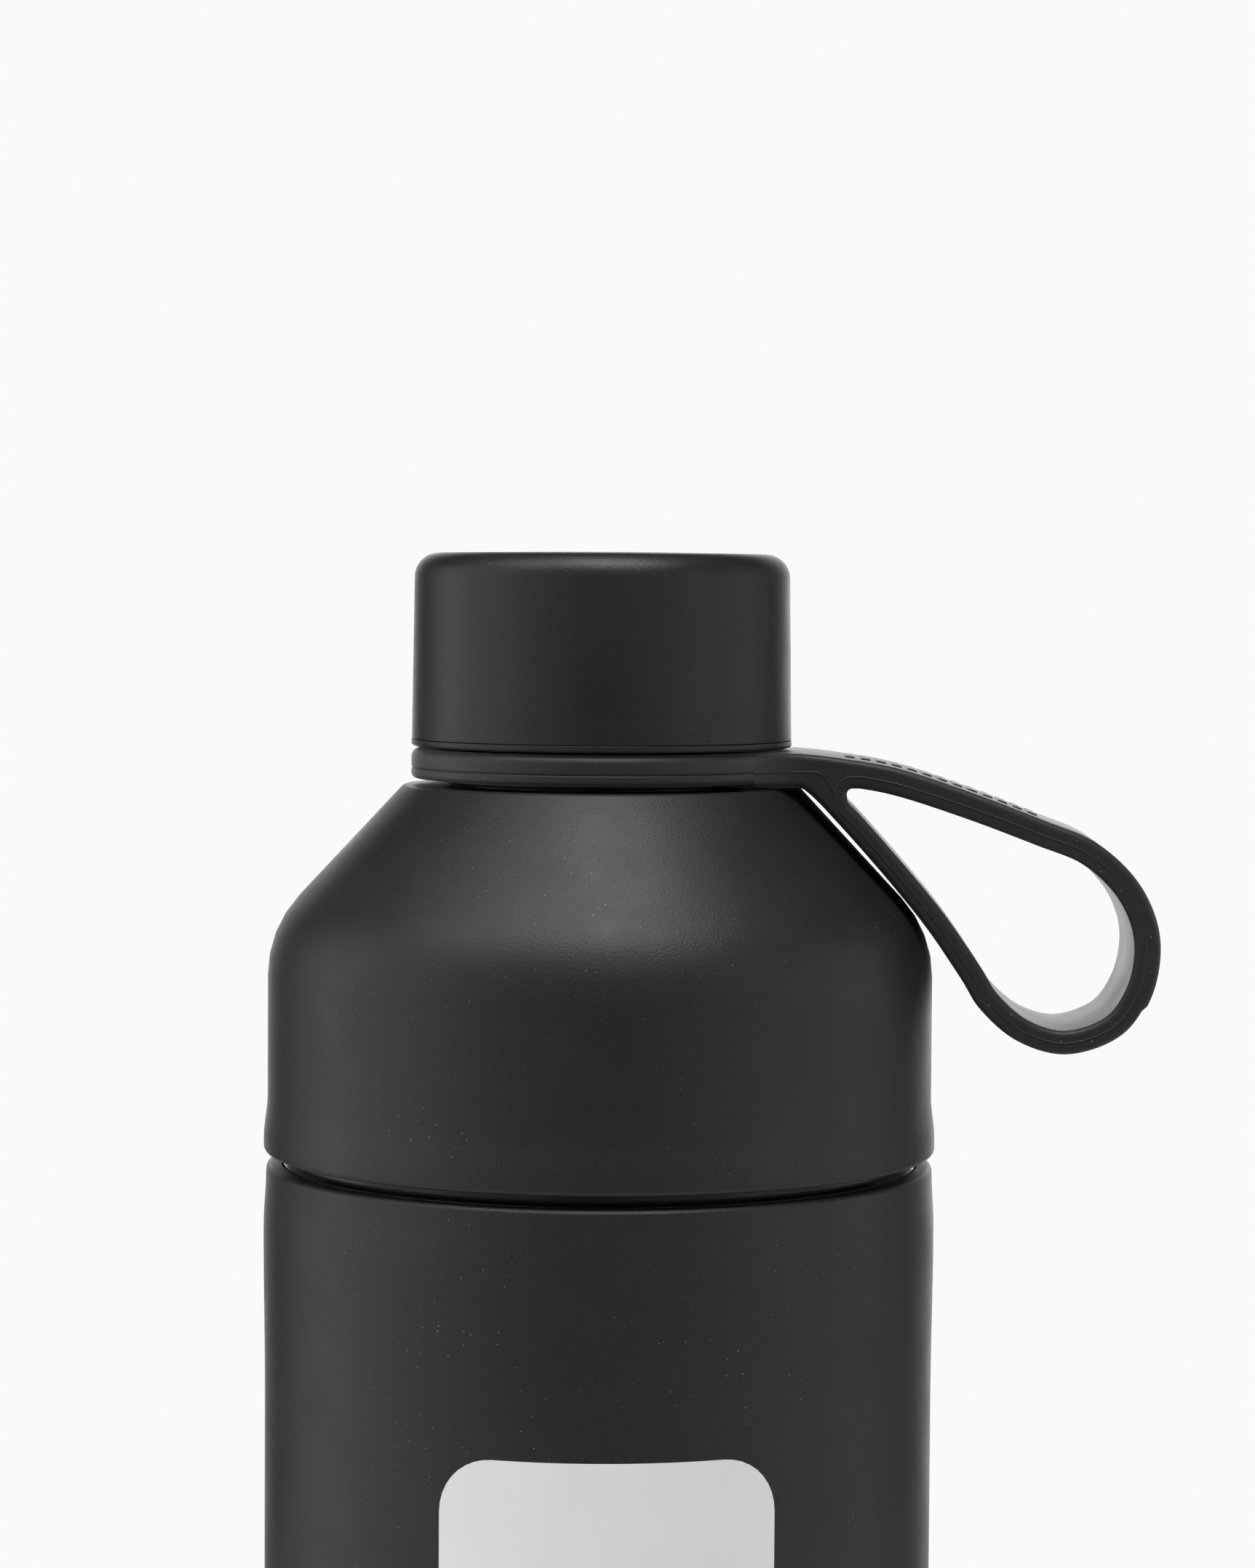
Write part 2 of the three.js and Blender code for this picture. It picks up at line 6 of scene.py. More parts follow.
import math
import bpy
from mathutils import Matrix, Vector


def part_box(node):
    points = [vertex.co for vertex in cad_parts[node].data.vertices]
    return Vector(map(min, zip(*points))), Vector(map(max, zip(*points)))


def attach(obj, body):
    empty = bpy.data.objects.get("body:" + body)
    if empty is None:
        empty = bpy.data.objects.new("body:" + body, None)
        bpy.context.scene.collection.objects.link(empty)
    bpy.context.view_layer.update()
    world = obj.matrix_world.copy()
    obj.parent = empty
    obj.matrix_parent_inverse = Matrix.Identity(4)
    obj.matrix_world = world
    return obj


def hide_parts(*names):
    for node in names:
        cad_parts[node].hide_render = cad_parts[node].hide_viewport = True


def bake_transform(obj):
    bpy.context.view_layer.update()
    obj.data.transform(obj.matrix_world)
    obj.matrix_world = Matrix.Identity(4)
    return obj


bl_info = {
    "name": "Insulated water bottle",
    "version": (1, 0, 0),
    "blender": (4, 5, 0),
    "location": "3D View > Sidebar > Bottle",
    "description": "Makes the bottle's finished pieces and its studio round the packed model",
    "category": "Object",
}

import bmesh
import bpy
from mathutils import Matrix, Vector
from mathutils.geometry import tessellate_polygon

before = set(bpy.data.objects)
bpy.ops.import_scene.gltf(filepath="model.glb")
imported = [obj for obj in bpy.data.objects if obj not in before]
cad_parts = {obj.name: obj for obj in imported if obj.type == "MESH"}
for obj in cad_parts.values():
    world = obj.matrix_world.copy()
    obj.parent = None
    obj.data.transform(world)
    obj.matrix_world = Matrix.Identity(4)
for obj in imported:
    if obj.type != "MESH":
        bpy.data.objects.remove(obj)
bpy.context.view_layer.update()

MM = 0.001
TURN_STEPS = 192  # facets round the bottle
NECK_STEPS = 160  # round the spout, the strap's ring and the cap's insert
SEAL_STEPS = 128  # round the larger seals and the pad
SMALL_STEPS = 96  # round the spout's seal and the base dish
ROUND_STEP = math.radians(12)  # the most that a rounded corner turns from facet to facet
SHARP_ANGLE = math.radians(34)  # an edge that turns more than this stays crisp
LEAST_MITRE = 0.3  # a corner of a line that is moved sideways goes at most 1 / this times as far


def reach(node):
    """How far a CAD piece reaches from the axis, its lowest height and its highest, in mm."""
    low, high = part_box(node)
    return -low.x / MM, low.z / MM, high.z / MM


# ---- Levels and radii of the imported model, in mm ----
LIP_RADIUS, BODY_FOOT, BODY_LIP = reach("outer_shell")
HEM_RADIUS, SEAM, LEDGE = reach("chamber_shell")
RING_RADIUS, RING_FOOT, RING_TOP = reach("neck_ring")
CAP_RADIUS, CAP_FOOT, INSERT_TOP = reach("cap_insert")
CAP_TOP = reach("cap_shell")[2]
SPOUT_TAIL, SPOUT_LIP = reach("spout")[1:]
SKIRT_FOOT = reach("chamber_moulding")[1]
PAD_RADIUS, PAD_FOOT, PAD_TOP = reach("base_pad")

# ---- Sizes of the real pieces, in mm ----
BODY_RADIUS = LIP_RADIUS - 0.2
STEEL_WALL = 0.5
FOOT_OPENING = BODY_RADIUS - 7
LEDGE_RADIUS = RING_RADIUS + 1
CHAMBER_RADIUS = BODY_RADIUS - 0.3
CONE_ANGLE = math.radians(42.9)  # between the shoulder's cone and the axis
SHOULDER_ROUND = 15
NECK_HOLE = 19
SPOUT_BORE = 16
SPOUT_RADIUS = 18.2
COLLAR_RADIUS = 21
LINER_FLOOR = 12
LINER_RADIUS = BODY_RADIUS - 4
MOUTH_RADIUS = BODY_RADIUS - 5.8
SKIRT_RADIUS = 36.2
MOULDED_WALL = 1.5
PRINT_CORNER = 7  # radius of the printed panel's corners
PRINT_COLUMNS = 56
INK_FILM = 0.035  # how far the ink stands off the coat
INK_SUNK = 0.2  # how far its edge goes into the coat, so that no gap shows
INSERT_BORE = 20
CAP_WALL = 1.7
STRAP_HALF_WIDTH = 11
STRAP_ROOT_ROUND = 10  # in plan, where the strap grows out of its ring
STRAP_ROOT_END = 16.5  # where the strap's root ends, out from the axis, before the ring's bore is cut
STRAP_PATH_STEPS = 150
STRAP_ROOT_CUTS = [STRAP_ROOT_END + 0.51 * k for k in range(1, 24)]  # where its root is cut across to widen
RING_PARTING = 1.4  # from the ring's foot up to where its mould parts
STRAP_PARTING = 1.55  # from the finger hole's edge to where the loop's mould parts

# The middle of the strap's band, from its ring round to its ring again. Each place is so far down the
# cone from the ledge's edge, and so far out from the cone.
STRAP_MIDDLE = (
    (-3.3, 1), (1.8, 5.4), (7.7, 9.9), (16.4, 14.8), (25, 19.1), (31, 21.9), (37, 22.5),
    (42.1, 21.2), (45.9, 18.5), (48.8, 14.2), (49.8, 9), (47.3, 3.3), (42.4, 0.2), (36.8, -0.5),
    (32.3, 0.3), (24.8, 1.4), (17.3, 1.9), (9.9, 2.1), (3.3, 2.1),
)
STRAP_CROTCH = (4.7, 3.7)  # where its two branches part
STRAP_THICKNESS = (3.6, 2.8)  # of the band, at its start and at its end
MOULD_STEP = (70.9, 225.2)  # where the mould's insert leaves a small step on the outside, as x and z
MOULD_STEP_HIGH = 0.34
MOULD_STEP_RUN = 26  # steps of the path over which the band swells up to it
GRIP_FROM, GRIP_TO, GRIP_ABOVE = 32, 57, 244  # the grip bars' stretch of the strap: x, x and least z

CAP_THREAD = {"pitch": 6, "turns": 1.25, "depth": 1.2, "root": 2, "crest": 1}
MOUTH_THREAD = {"pitch": 6, "turns": 1, "depth": 1.4, "root": 2.2, "crest": 1.2}
CAP_THREAD_FOOT = RING_TOP + 2
MOUTH_THREAD_FOOT = BODY_LIP - 11
THREAD_STEPS = 96  # steps along a thread for each turn
THREAD_FADE = 0.09  # the share of a thread's length over which each end fades out
THREAD_END = 0.12  # how high a thread still stands at its very end, as a share
THREAD_SUNK = 0.3  # how deep a thread's root sits in its wall

# ---- The camera, level with the cap: mm, and angles in radians ----
CAMERA_AWAY = 529.42
CAMERA_HEIGHT = SEAM + 74.21
CAMERA_ROUND = math.radians(2)
CAMERA_DOWN = 0.0489
CAMERA_YAW = 0.0065
CAMERA_ROLL = 0.0062
CAMERA_LENS = 92.37
CAMERA_SENSOR = 36

# ---- The soft boxes: degrees from the front towards the right, degrees up, and watts ----
STANDING_BOXES = ((-100, 4.6), (-62, 3.2), (-28, 1.15), (28, 0.9), (62, 2.4), (100, 2.6), (150, 0.8))
HIGH_BOXES = ((15, 65, 7.6), (-60, 55, 3.6), (0, 80, 3.2))

# ---- The floor, in mm ----
FLOOR_REACH = 560
FLOOR_LEVEL = -0.1  # just under the pad, so that the two faces don't lie in one plane
FLOOR_STEPS = 96


def linear(colour):
    """An sRGB hex colour as the linear colour that Blender works in."""
    parts = [int(colour[i : i + 2], 16) / 255 for i in (1, 3, 5)]
    return (*(c / 12.92 if c <= 0.04045 else ((c + 0.055) / 1.055) ** 2.4 for c in parts), 1)


# ---- Outlines ----
def rounded(corners, closed=False):
    """A line through corners, each (across, height) or (across, height, radius of its round)."""
    count = len(corners)
    line = []
    for i, corner in enumerate(corners):
        here = Vector(corner[:2])
        radius = corner[2] if len(corner) > 2 else 0
        if not radius or (not closed and i in (0, count - 1)):
            line.append(here)
            continue
        back = Vector(corners[i - 1][:2]) - here
        ahead = Vector(corners[(i + 1) % count][:2]) - here
        between = back.angle(ahead)
        tangent = min(radius / math.tan(between / 2), 0.499 * back.length, 0.499 * ahead.length)
        radius = tangent * math.tan(between / 2)
        inward = (back.normalized() + ahead.normalized()).normalized()
        middle = here + inward * radius / math.sin(between / 2)
        first = here + back.normalized() * tangent - middle
        last = here + ahead.normalized() * tangent - middle
        turn = first.angle_signed(last)
        steps = max(2, math.ceil(abs(turn) / ROUND_STEP))
        for k in range(steps + 1):
            arm = first.copy()
            arm.rotate(Matrix.Rotation(-turn * k / steps, 2))
            line.append(middle + arm)
    return line


def beside(line, distance, closed=False):
    """The same line moved to its left by a distance, which may be one number or one for each point."""
    count = len(line)
    moved = []
    for i, here in enumerate(line):
        before = line[i - 1] if closed or i else here
        after = line[(i + 1) % count] if closed or i < count - 1 else here
        leaving = (after - here) if (after - here).length > 1e-9 else (here - before)
        arriving = (here - before) if (here - before).length > 1e-9 else leaving
        leaving, arriving = leaving.normalized(), arriving.normalized()
        bisector = (leaving + arriving).normalized()
        away = distance[i] if hasattr(distance, "__len__") else distance
        away /= max(bisector.dot(arriving), LEAST_MITRE)
        moved.append(here + Vector((-bisector.y, bisector.x)) * away)
    return moved


def sheet_outline(line, wall):
    """A closed outline of even thickness, from one face's line, with the other face beside it."""
    other = beside(line, wall)
    if line[0].x < 1e-6:
        other[0].x = 0
    return line + other[::-1]


def eased(start, end, steps=8):
    """Points from one to another, (radius, height), that leave and arrive straight up and down."""
    (r0, z0), (r1, z1) = start, end
    for k in range(steps + 1):
        t = k / steps
        yield (r0 + (r1 - r0) * t * t * (3 - 2 * t), z0 + (z1 - z0) * t)


# ---- Meshes ----
def circle_of_verts(bm, radius, height, steps):
    """New vertices evenly round the bottle's axis, from a radius and a height in mm."""
    out, level = radius * MM, height * MM
    angles = [2 * math.pi * k / steps for k in range(steps)]
    return [bm.verts.new((out * math.cos(a), out * math.sin(a), level)) for a in angles]


def turned(outline, steps=TURN_STEPS):
    """A closed outline turned round the bottle's axis, as a bmesh in metres."""
    bm = bmesh.new()
    rings = []
    for radius, height in outline:
        if radius < 1e-6:
            rings.append([bm.verts.new((0, 0, height * MM))] * steps)
        else:
            rings.append(circle_of_verts(bm, radius, height, steps))
    for low, high in zip(rings, rings[1:] + rings[:1]):
        for k in range(steps):
            corners = [low[k - 1], low[k], high[k], high[k - 1]]
            face = list(dict.fromkeys(corners))
            if len(face) > 2:
                bm.faces.new(face)
    bmesh.ops.recalc_face_normals(bm, faces=bm.faces)
    return bm


def skin_between(bm, low, high):
    """Faces from one closed ring of vertices to the next."""
    for k in range(len(low)):
        bm.faces.new((low[k - 1], low[k], high[k], high[k - 1]))


def piece(name, bm, material):
    """Makes a bmesh into an object with smooth faces and crisp edges."""
    mesh = bpy.data.meshes.new(name)
    bm.to_mesh(mesh)
    bm.free()
    mesh.materials.append(material)
    for polygon in mesh.polygons:
        polygon.material_index = 0
        polygon.use_smooth = True
    mesh.set_sharp_from_angle(angle=SHARP_ANGLE)
    made = bpy.data.objects.new(name, mesh)
    bpy.context.scene.collection.objects.link(made)
    return made


def settle(made, body, slot, *nodes):
    """Sends a finished piece off with its body, in place of the CAD nodes it stands for."""
    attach(made, body)
    if nodes:
        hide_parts(*nodes)


def grown(name, tree, sizes, material, points=(), edges=()):
    """What a geometry tree makes from a line of points, as a bmesh. Its sizes go by input name."""
    mesh = bpy.data.meshes.new(name)
    mesh.from_pydata(points, edges, [])
    holder = bpy.data.objects.new(name, mesh)
    bpy.context.scene.collection.objects.link(holder)
    modifier = holder.modifiers.new(name, "NODES")
    modifier.node_group = tree
    sockets = [s for s in tree.interface.items_tree if s.item_type == "SOCKET" and s.in_out == "INPUT"]
    identifiers = {s.name: s.identifier for s in sockets}
    for size, value in {**sizes, "Finish": material}.items():
        modifier[identifiers[size]] = value
    graph = bpy.context.evaluated_depsgraph_get()
    result = bpy.data.meshes.new_from_object(holder.evaluated_get(graph))
    holder.modifiers.remove(modifier)
    bpy.data.objects.remove(holder)
    bm = bmesh.new()
    bm.from_mesh(result)
    bmesh.ops.remove_doubles(bm, verts=bm.verts, dist=1e-7)
    bmesh.ops.recalc_face_normals(bm, faces=bm.faces)
    bpy.data.meshes.remove(result)
    if not bm.faces:
        raise RuntimeError(f"the geometry tree {tree.name} made nothing for {name}")
    return bm


def together(*parts):
    """Several bmeshes as one."""
    whole = bmesh.new()
    for part in parts:
        mesh = bpy.data.meshes.new("part")
        part.to_mesh(mesh)
        part.free()
        whole.from_mesh(mesh)
        bpy.data.meshes.remove(mesh)
    return whole


def add_node(tree, kind, inputs=None, **settings):
    """Adds a node with its settings, and gives each input a value or the output that feeds it."""
    node = tree.nodes.new(kind)
    for setting, value in settings.items():
        setattr(node, setting, value)
    for socket, value in (inputs or {}).items():
        if isinstance(value, bpy.types.NodeSocket):
            tree.links.new(value, node.inputs[socket])
        else:
            node.inputs[socket].default_value = value
    return node


# ---- Geometry trees ----
def new_geometry_tree(name, sizes):
    """A geometry tree that takes a line, named sizes and a finish, and puts out what it made."""
    tree = bpy.data.node_groups.new(name, "GeometryNodeTree")
    tree.interface.new_socket("Line", in_out="INPUT", socket_type="NodeSocketGeometry")
    for size, kind in sizes.items():
        tree.interface.new_socket(size, in_out="INPUT", socket_type=kind)
    tree.interface.new_socket("Finish", in_out="INPUT", socket_type="NodeSocketMaterial")
    tree.interface.new_socket("Made", in_out="OUTPUT", socket_type="NodeSocketGeometry")
    return tree, add_node(tree, "NodeGroupInput").outputs


def end_geometry_tree(tree, made, finish):
    """Realizes what a tree made, gives it its finish and puts it out."""
    real = add_node(tree, "GeometryNodeRealizeInstances", {0: made})
    inputs = {"Geometry": real.outputs[0], "Material": finish}
    painted = add_node(tree, "GeometryNodeSetMaterial", inputs)
    add_node(tree, "NodeGroupOutput", {0: painted.outputs[0]})
    return tree


def thread_tree():
    """A screw thread: a trapezoid carried up a helix, that fades out at both its ends."""
    names = ("Radius", "Pitch", "Turns", "Depth", "Root", "Crest", "Outward", "Foot", "Sunk")
    tree, given = new_geometry_tree("screw_thread", dict.fromkeys(names, "NodeSocketFloat"))

    def maths(operation, *values):
        return add_node(tree, "ShaderNodeMath", dict(enumerate(values)), operation=operation).outputs[0]

    def vector(x, y, z):
        return add_node(tree, "ShaderNodeCombineXYZ", {0: x, 1: y, 2: z}).outputs[0]

    count = maths("MULTIPLY", given["Turns"], THREAD_STEPS)
    whole = add_node(tree, "FunctionNodeFloatToInt", {0: count}).outputs[0]
    line = add_node(tree, "GeometryNodeMeshLine", {"Count": whole}).outputs[0]
    curve = add_node(tree, "GeometryNodeMeshToCurve", {0: line}).outputs[0]
    along = add_node(tree, "GeometryNodeSplineParameter").outputs["Factor"]
    turns = maths("MULTIPLY", along, given["Turns"])
    angle = maths("MULTIPLY", turns, 2 * math.pi)
    across = maths("MULTIPLY", given["Radius"], maths("COSINE", angle))
    back = maths("MULTIPLY", given["Radius"], maths("SINE", angle))
    rise = maths("ADD", given["Foot"], maths("MULTIPLY", turns, given["Pitch"]))
    moved = {"Geometry": curve, "Position": vector(across, back, rise)}
    helix = add_node(tree, "GeometryNodeSetPosition", moved).outputs[0]
    upright = add_node(tree, "GeometryNodeSetCurveNormal", {0: helix}, mode="Z_UP").outputs[0]
    height = maths("ADD", given["Depth"], given["Sunk"])
    section = add_node(
        tree,
        "GeometryNodeCurvePrimitiveQuadrilateral",
        {"Height": height, "Bottom Width": given["Root"], "Top Width": given["Crest"], "Offset": 0.0},
        mode="TRAPEZOID",
    ).outputs[0]

    def transformed(geometry, **move):
        return add_node(tree, "GeometryNodeTransform", {"Geometry": geometry, **move}).outputs[0]

    # The section stands on its root, sunk into the wall, and points out from the axis or in towards it.
    middle = maths("MULTIPLY", maths("SUBTRACT", given["Depth"], given["Sunk"]), 0.5)
    stood = transformed(section, Translation=vector(0.0, middle, 0.0))
    laid = transformed(stood, Rotation=(0, 0, -math.pi / 2))
    facing = transformed(laid, Scale=vector(given["Outward"], 1.0, 1.0))
    ends = maths("MINIMUM", along, maths("SUBTRACT", 1.0, along))
    fading = {"Value": ends, "From Max": THREAD_FADE, "To Min": THREAD_END}
    fade = add_node(tree, "ShaderNodeMapRange", fading).outputs[0]
    ridge = add_node(
        tree,
        "GeometryNodeCurveToMesh",
        {"Curve": upright, "Profile Curve": facing, "Scale": fade, "Fill Caps": True},
    ).outputs[0]
    return end_geometry_tree(tree, ridge, given["Finish"])


def flash_tree():
    """The fine line of flash that a mould's parting leaves along an edge."""
    tree, given = new_geometry_tree("mould_flash", {"Width": "NodeSocketFloat"})
    curve = add_node(tree, "GeometryNodeMeshToCurve", {0: given["Line"]}).outputs[0]
    half = add_node(tree, "ShaderNodeMath", {0: given["Width"], 1: 0.5}, operation="MULTIPLY").outputs[0]
    circle = {"Resolution": 6, "Radius": half}
    section = add_node(tree, "GeometryNodeCurvePrimitiveCircle", circle).outputs[0]
    inputs = {"Curve": curve, "Profile Curve": section, "Fill Caps": True}
    bead = add_node(tree, "GeometryNodeCurveToMesh", inputs)
    return end_geometry_tree(tree, bead.outputs[0], given["Finish"])


def grip_tree():
    """Raised bars laid across a line at even steps."""
    lengths = dict.fromkeys(("Long", "Wide", "High"), "NodeSocketFloat")
    tree, given = new_geometry_tree("grip_bars", {"Bars": "NodeSocketInt", **lengths})
    curve = add_node(tree, "GeometryNodeMeshToCurve", {0: given["Line"]}).outputs[0]
    inputs = {"Curve": curve, "Count": given["Bars"]}
    places = add_node(tree, "GeometryNodeCurveToPoints", inputs, mode="COUNT").outputs
    inputs = {"Vector": places["Tangent"]}
    lie = add_node(tree, "FunctionNodeAlignRotationToVector", inputs, axis="X", pivot_axis="Y").outputs[0]
    inputs = {0: given["Wide"], 1: given["Long"], 2: given["High"]}
    size = add_node(tree, "ShaderNodeCombineXYZ", inputs).outputs[0]
    inputs = {"Size": size, "Vertices X": 3, "Vertices Y": 6, "Vertices Z": 3}
    block = add_node(tree, "GeometryNodeMeshCube", inputs).outputs[0]
    bar = add_node(tree, "GeometryNodeSubdivisionSurface", {"Mesh": block, "Level": 2}).outputs[0]
    inputs = {"Points": places["Points"], "Instance": bar, "Rotation": lie}
    bars = add_node(tree, "GeometryNodeInstanceOnPoints", inputs).outputs[0]
    return end_geometry_tree(tree, bars, given["Finish"])


# ---- Finishes ----
DUST_COLOUR = "#646464"
DUST_APART = 1.35  # about how far one speck of dust is from the next, in mm


def new_finish(name, **shader):
    """A material with a Principled shader on its output, and its object coordinates, in metres."""
    material = bpy.data.materials.new(name)
    material.use_nodes = True
    tree = material.node_tree
    tree.nodes.clear()
    surface = add_node(tree, "ShaderNodeBsdfPrincipled", shader)
    add_node(tree, "ShaderNodeOutputMaterial", {"Surface": surface.outputs[0]})
    place = add_node(tree, "ShaderNodeTexCoord").outputs["Object"]
    return material, tree, surface, place


def noise(tree, place, size, detail=2.0, roughness=0.5):
    """Noise whose features are about one size, in mm."""
    inputs = {"Vector": place, "Scale": 1 / (size * MM), "Detail": detail, "Roughness": roughness}
    return add_node(tree, "ShaderNodeTexNoise", inputs).outputs["Fac"]


def spread(tree, value, low, high):
    """A noise's middle range, spread from one number to another."""
    inputs = {"Value": value, "From Min": 0.32, "From Max": 0.68, "To Min": low, "To Max": high}
    return add_node(tree, "ShaderNodeMapRange", inputs).outputs[0]


def mixed(tree, factor, first, second):
    """Two colours mixed by a factor."""
    node = add_node(tree, "ShaderNodeMix", data_type="RGBA")
    for socket, value in ((0, factor), (6, first), (7, second)):
        if isinstance(value, bpy.types.NodeSocket):
            tree.links.new(value, node.inputs[socket])
        else:
            node.inputs[socket].default_value = value
    return node.outputs[2]


def tint(tree, surface, factor, first, second):
    """Gives a surface a colour that goes from one to another with a factor."""
    tree.links.new(mixed(tree, factor, first, second), surface.inputs["Base Color"])


def rub(tree, surface, value, low, high):
    """Gives a surface a roughness that goes from one number to another with a noise."""
    tree.links.new(spread(tree, value, low, high), surface.inputs["Roughness"])


def raised(tree, surface, height, depth):
    """Gives a surface relief from a height of 0 to 1, that many mm deep."""
    inputs = {"Height": height, "Distance": depth * MM, "Strength": 1.0}
    bump = add_node(tree, "ShaderNodeBump", inputs).outputs[0]
    tree.links.new(bump, surface.inputs["Normal"])


def specks(tree, place, apart, size):
    """Sparse dust: 1 on a speck and 0 elsewhere. Both sizes are in mm."""
    inputs = {"Vector": place, "Scale": 1 / (apart * MM), "Randomness": 1.0}
    near = add_node(tree, "ShaderNodeTexVoronoi", inputs, feature="F1").outputs["Distance"]
    largest = spread(tree, noise(tree, place, 16), 0.1 * size / apart, 0.8 * size / apart)
    return add_node(tree, "ShaderNodeMath", {0: near, 1: largest}, operation="LESS_THAN").outputs[0]


def matt_finish(name, colour, pale, *, roughness, grain, depth, dust, **shader):
    """A dull finish with a fine grain, faint mottling and a little dust. Grain, depth and dust are in mm."""
    material, tree, surface, place = new_finish(name, **shader)
    mottle = spread(tree, noise(tree, place, 28), 0, 0.4)
    fine = spread(tree, noise(tree, place, grain * 1.3, detail=1), 0, 0.8)
    blend = add_node(tree, "ShaderNodeMath", {0: mottle, 1: fine}, operation="ADD").outputs[0]
    clean = mixed(tree, blend, colour, pale)
    tint(tree, surface, specks(tree, place, DUST_APART, dust), clean, linear(DUST_COLOUR))
    rub(tree, surface, noise(tree, place, 9, detail=4), roughness - 0.03, roughness + 0.03)
    raised(tree, surface, noise(tree, place, grain, detail=2), depth)
    return material


def powder_coat(colours):
    """Powder coat baked on steel: a dense, even black with a sandy grain that sparkles in a highlight."""
    # The real grain is about 0.1 mm; it is drawn 0.25 mm wide to show.
    sizes = {"roughness": 0.5, "grain": 0.25, "depth": 0.045, "dust": 0.14}
    return matt_finish("powder_coated_steel", colours.coat, linear("#1f1f20"), **sizes, IOR=1.5)


def spark_textured_plastic(colours):
    """Polypropylene moulded against a spark-eroded tool: black, duller than the coat and finer in grain."""
    sizes = {"roughness": 0.47, "grain": 0.25, "depth": 0.035, "dust": 0.12}
    return matt_finish("moulded_polypropylene", colours.cap, linear("#202021"), **sizes, IOR=1.49)


def silicone_rubber(colours):
    """Compression-moulded silicone with a matt skin: soft black, a little pale at its edges, and dusty."""
    sizes = {"roughness": 0.5, "grain": 0.3, "depth": 0.012, "dust": 0.17}
    skin = {"IOR": 1.41, "Sheen Weight": 0.25, "Sheen Roughness": 0.5}
    return matt_finish("silicone_rubber", colours.strap, linear("#262627"), **sizes, **skin)


def seal_silicone():
    """Clear silicone tinted grey, as food seals are: it lets a little light in under its skin."""
    sizes = {"roughness": 0.4, "grain": 0.5, "depth": 0.006, "dust": 0.12}
    skin = {"IOR": 1.41, "Subsurface Weight": 0.15, "Subsurface Radius": (0.002, 0.002, 0.002)}
    return matt_finish("food_seal_silicone", linear("#2b2c2e"), linear("#323436"), **sizes, **skin)


def glossy_polypropylene():
    """Polypropylene moulded against a polished tool, where it meets the drink: a smooth dark grey."""
    material, tree, surface, place = new_finish("polished_tool_polypropylene", IOR=1.49)
    flow = spread(tree, noise(tree, place, 14, detail=3), 0, 1)
    tint(tree, surface, flow, linear("#242527"), linear("#2b2c2f"))
    rub(tree, surface, noise(tree, place, 5), 0.28, 0.36)
    raised(tree, surface, noise(tree, place, 2.5), 0.01)
    return material


def polished_liner_steel():
    """Stainless 18/8 spun and electropolished: bright, with the spinning's fine rings still in it."""
    material, tree, surface, place = new_finish("electropolished_stainless", Metallic=1.0)
    parts = add_node(tree, "ShaderNodeSeparateXYZ", {0: place}).outputs
    flat = add_node(tree, "ShaderNodeCombineXYZ", {0: parts[0], 1: parts[1]}).outputs[0]
    out = add_node(tree, "ShaderNodeVectorMath", {0: flat}, operation="LENGTH").outputs["Value"]
    # Rings stand 0.35 mm apart, and wander along their length over some 60 mm.
    slow = {0: flat, 1: (1 / 170,) * 3}
    along = add_node(tree, "ShaderNodeVectorMath", slow, operation="MULTIPLY").outputs[0]
    rings = add_node(tree, "ShaderNodeCombineXYZ", {1: out, 2: parts[2]}).outputs[0]
    spun = add_node(tree, "ShaderNodeVectorMath", {0: along, 1: rings}, operation="ADD").outputs[0]
    lines = noise(tree, spun, 0.35, detail=3, roughness=0.7)
    shade = spread(tree, noise(tree, place, 30), 0, 1)
    tint(tree, surface, shade, linear("#c4c3bf"), linear("#d0d0cd"))
    rub(tree, surface, lines, 0.2, 0.34)
    raised(tree, surface, lines, 0.006)
    return material


def print_ink(colours):
    """Screen-printed epoxy ink: a thin white film, glossier than the coat, with the coat's grain in it."""
    material, tree, surface, place = new_finish("screen_print_ink", IOR=1.52)
    thin = spread(tree, noise(tree, place, 6, detail=4), 0, 1)
    tint(tree, surface, thin, colours.ink, linear("#f8f8f7"))
    rub(tree, surface, noise(tree, place, 3), 0.3, 0.38)
    raised(tree, surface, noise(tree, place, 0.38), 0.008)
    return material


def closed_cell_foam():
    """Expanded polyethylene: off-white closed cells, dull all over."""
    material, tree, surface, place = new_finish("expanded_polyethylene", Roughness=0.85, IOR=1.5)
    cells = add_node(tree, "ShaderNodeTexVoronoi", {"Vector": place, "Scale": 1 / (0.9 * MM)}, feature="F1")
    near = cells.outputs["Distance"]
    tint(tree, surface, near, linear("#cfcabc"), linear("#ece9df"))
    raised(tree, surface, near, 0.25)
    return material


def pressed_getter_metal():
    """A pressed nickel-steel cup: grey, dull and a little heat-stained."""
    material, tree, surface, place = new_finish("nickel_plated_steel", Metallic=1.0)
    stain = spread(tree, noise(tree, place, 4, detail=4), 0, 1)
    tint(tree, surface, stain, linear("#8f8d88"), linear("#a09a8c"))
    rub(tree, surface, noise(tree, place, 1.5), 0.35, 0.5)
    return material


def solder_glass():
    """Solder glass melted over the exhaust hole: dark green-grey and glossy, with small bubbles."""
    material, tree, surface, place = new_finish("solder_glass", Roughness=0.12, IOR=1.6)
    bubbles = specks(tree, place, 0.8, 0.2)
    tint(tree, surface, bubbles, linear("#3a4743"), linear("#7d8a85"))
    raised(tree, surface, noise(tree, place, 1.2), 0.05)
    return material


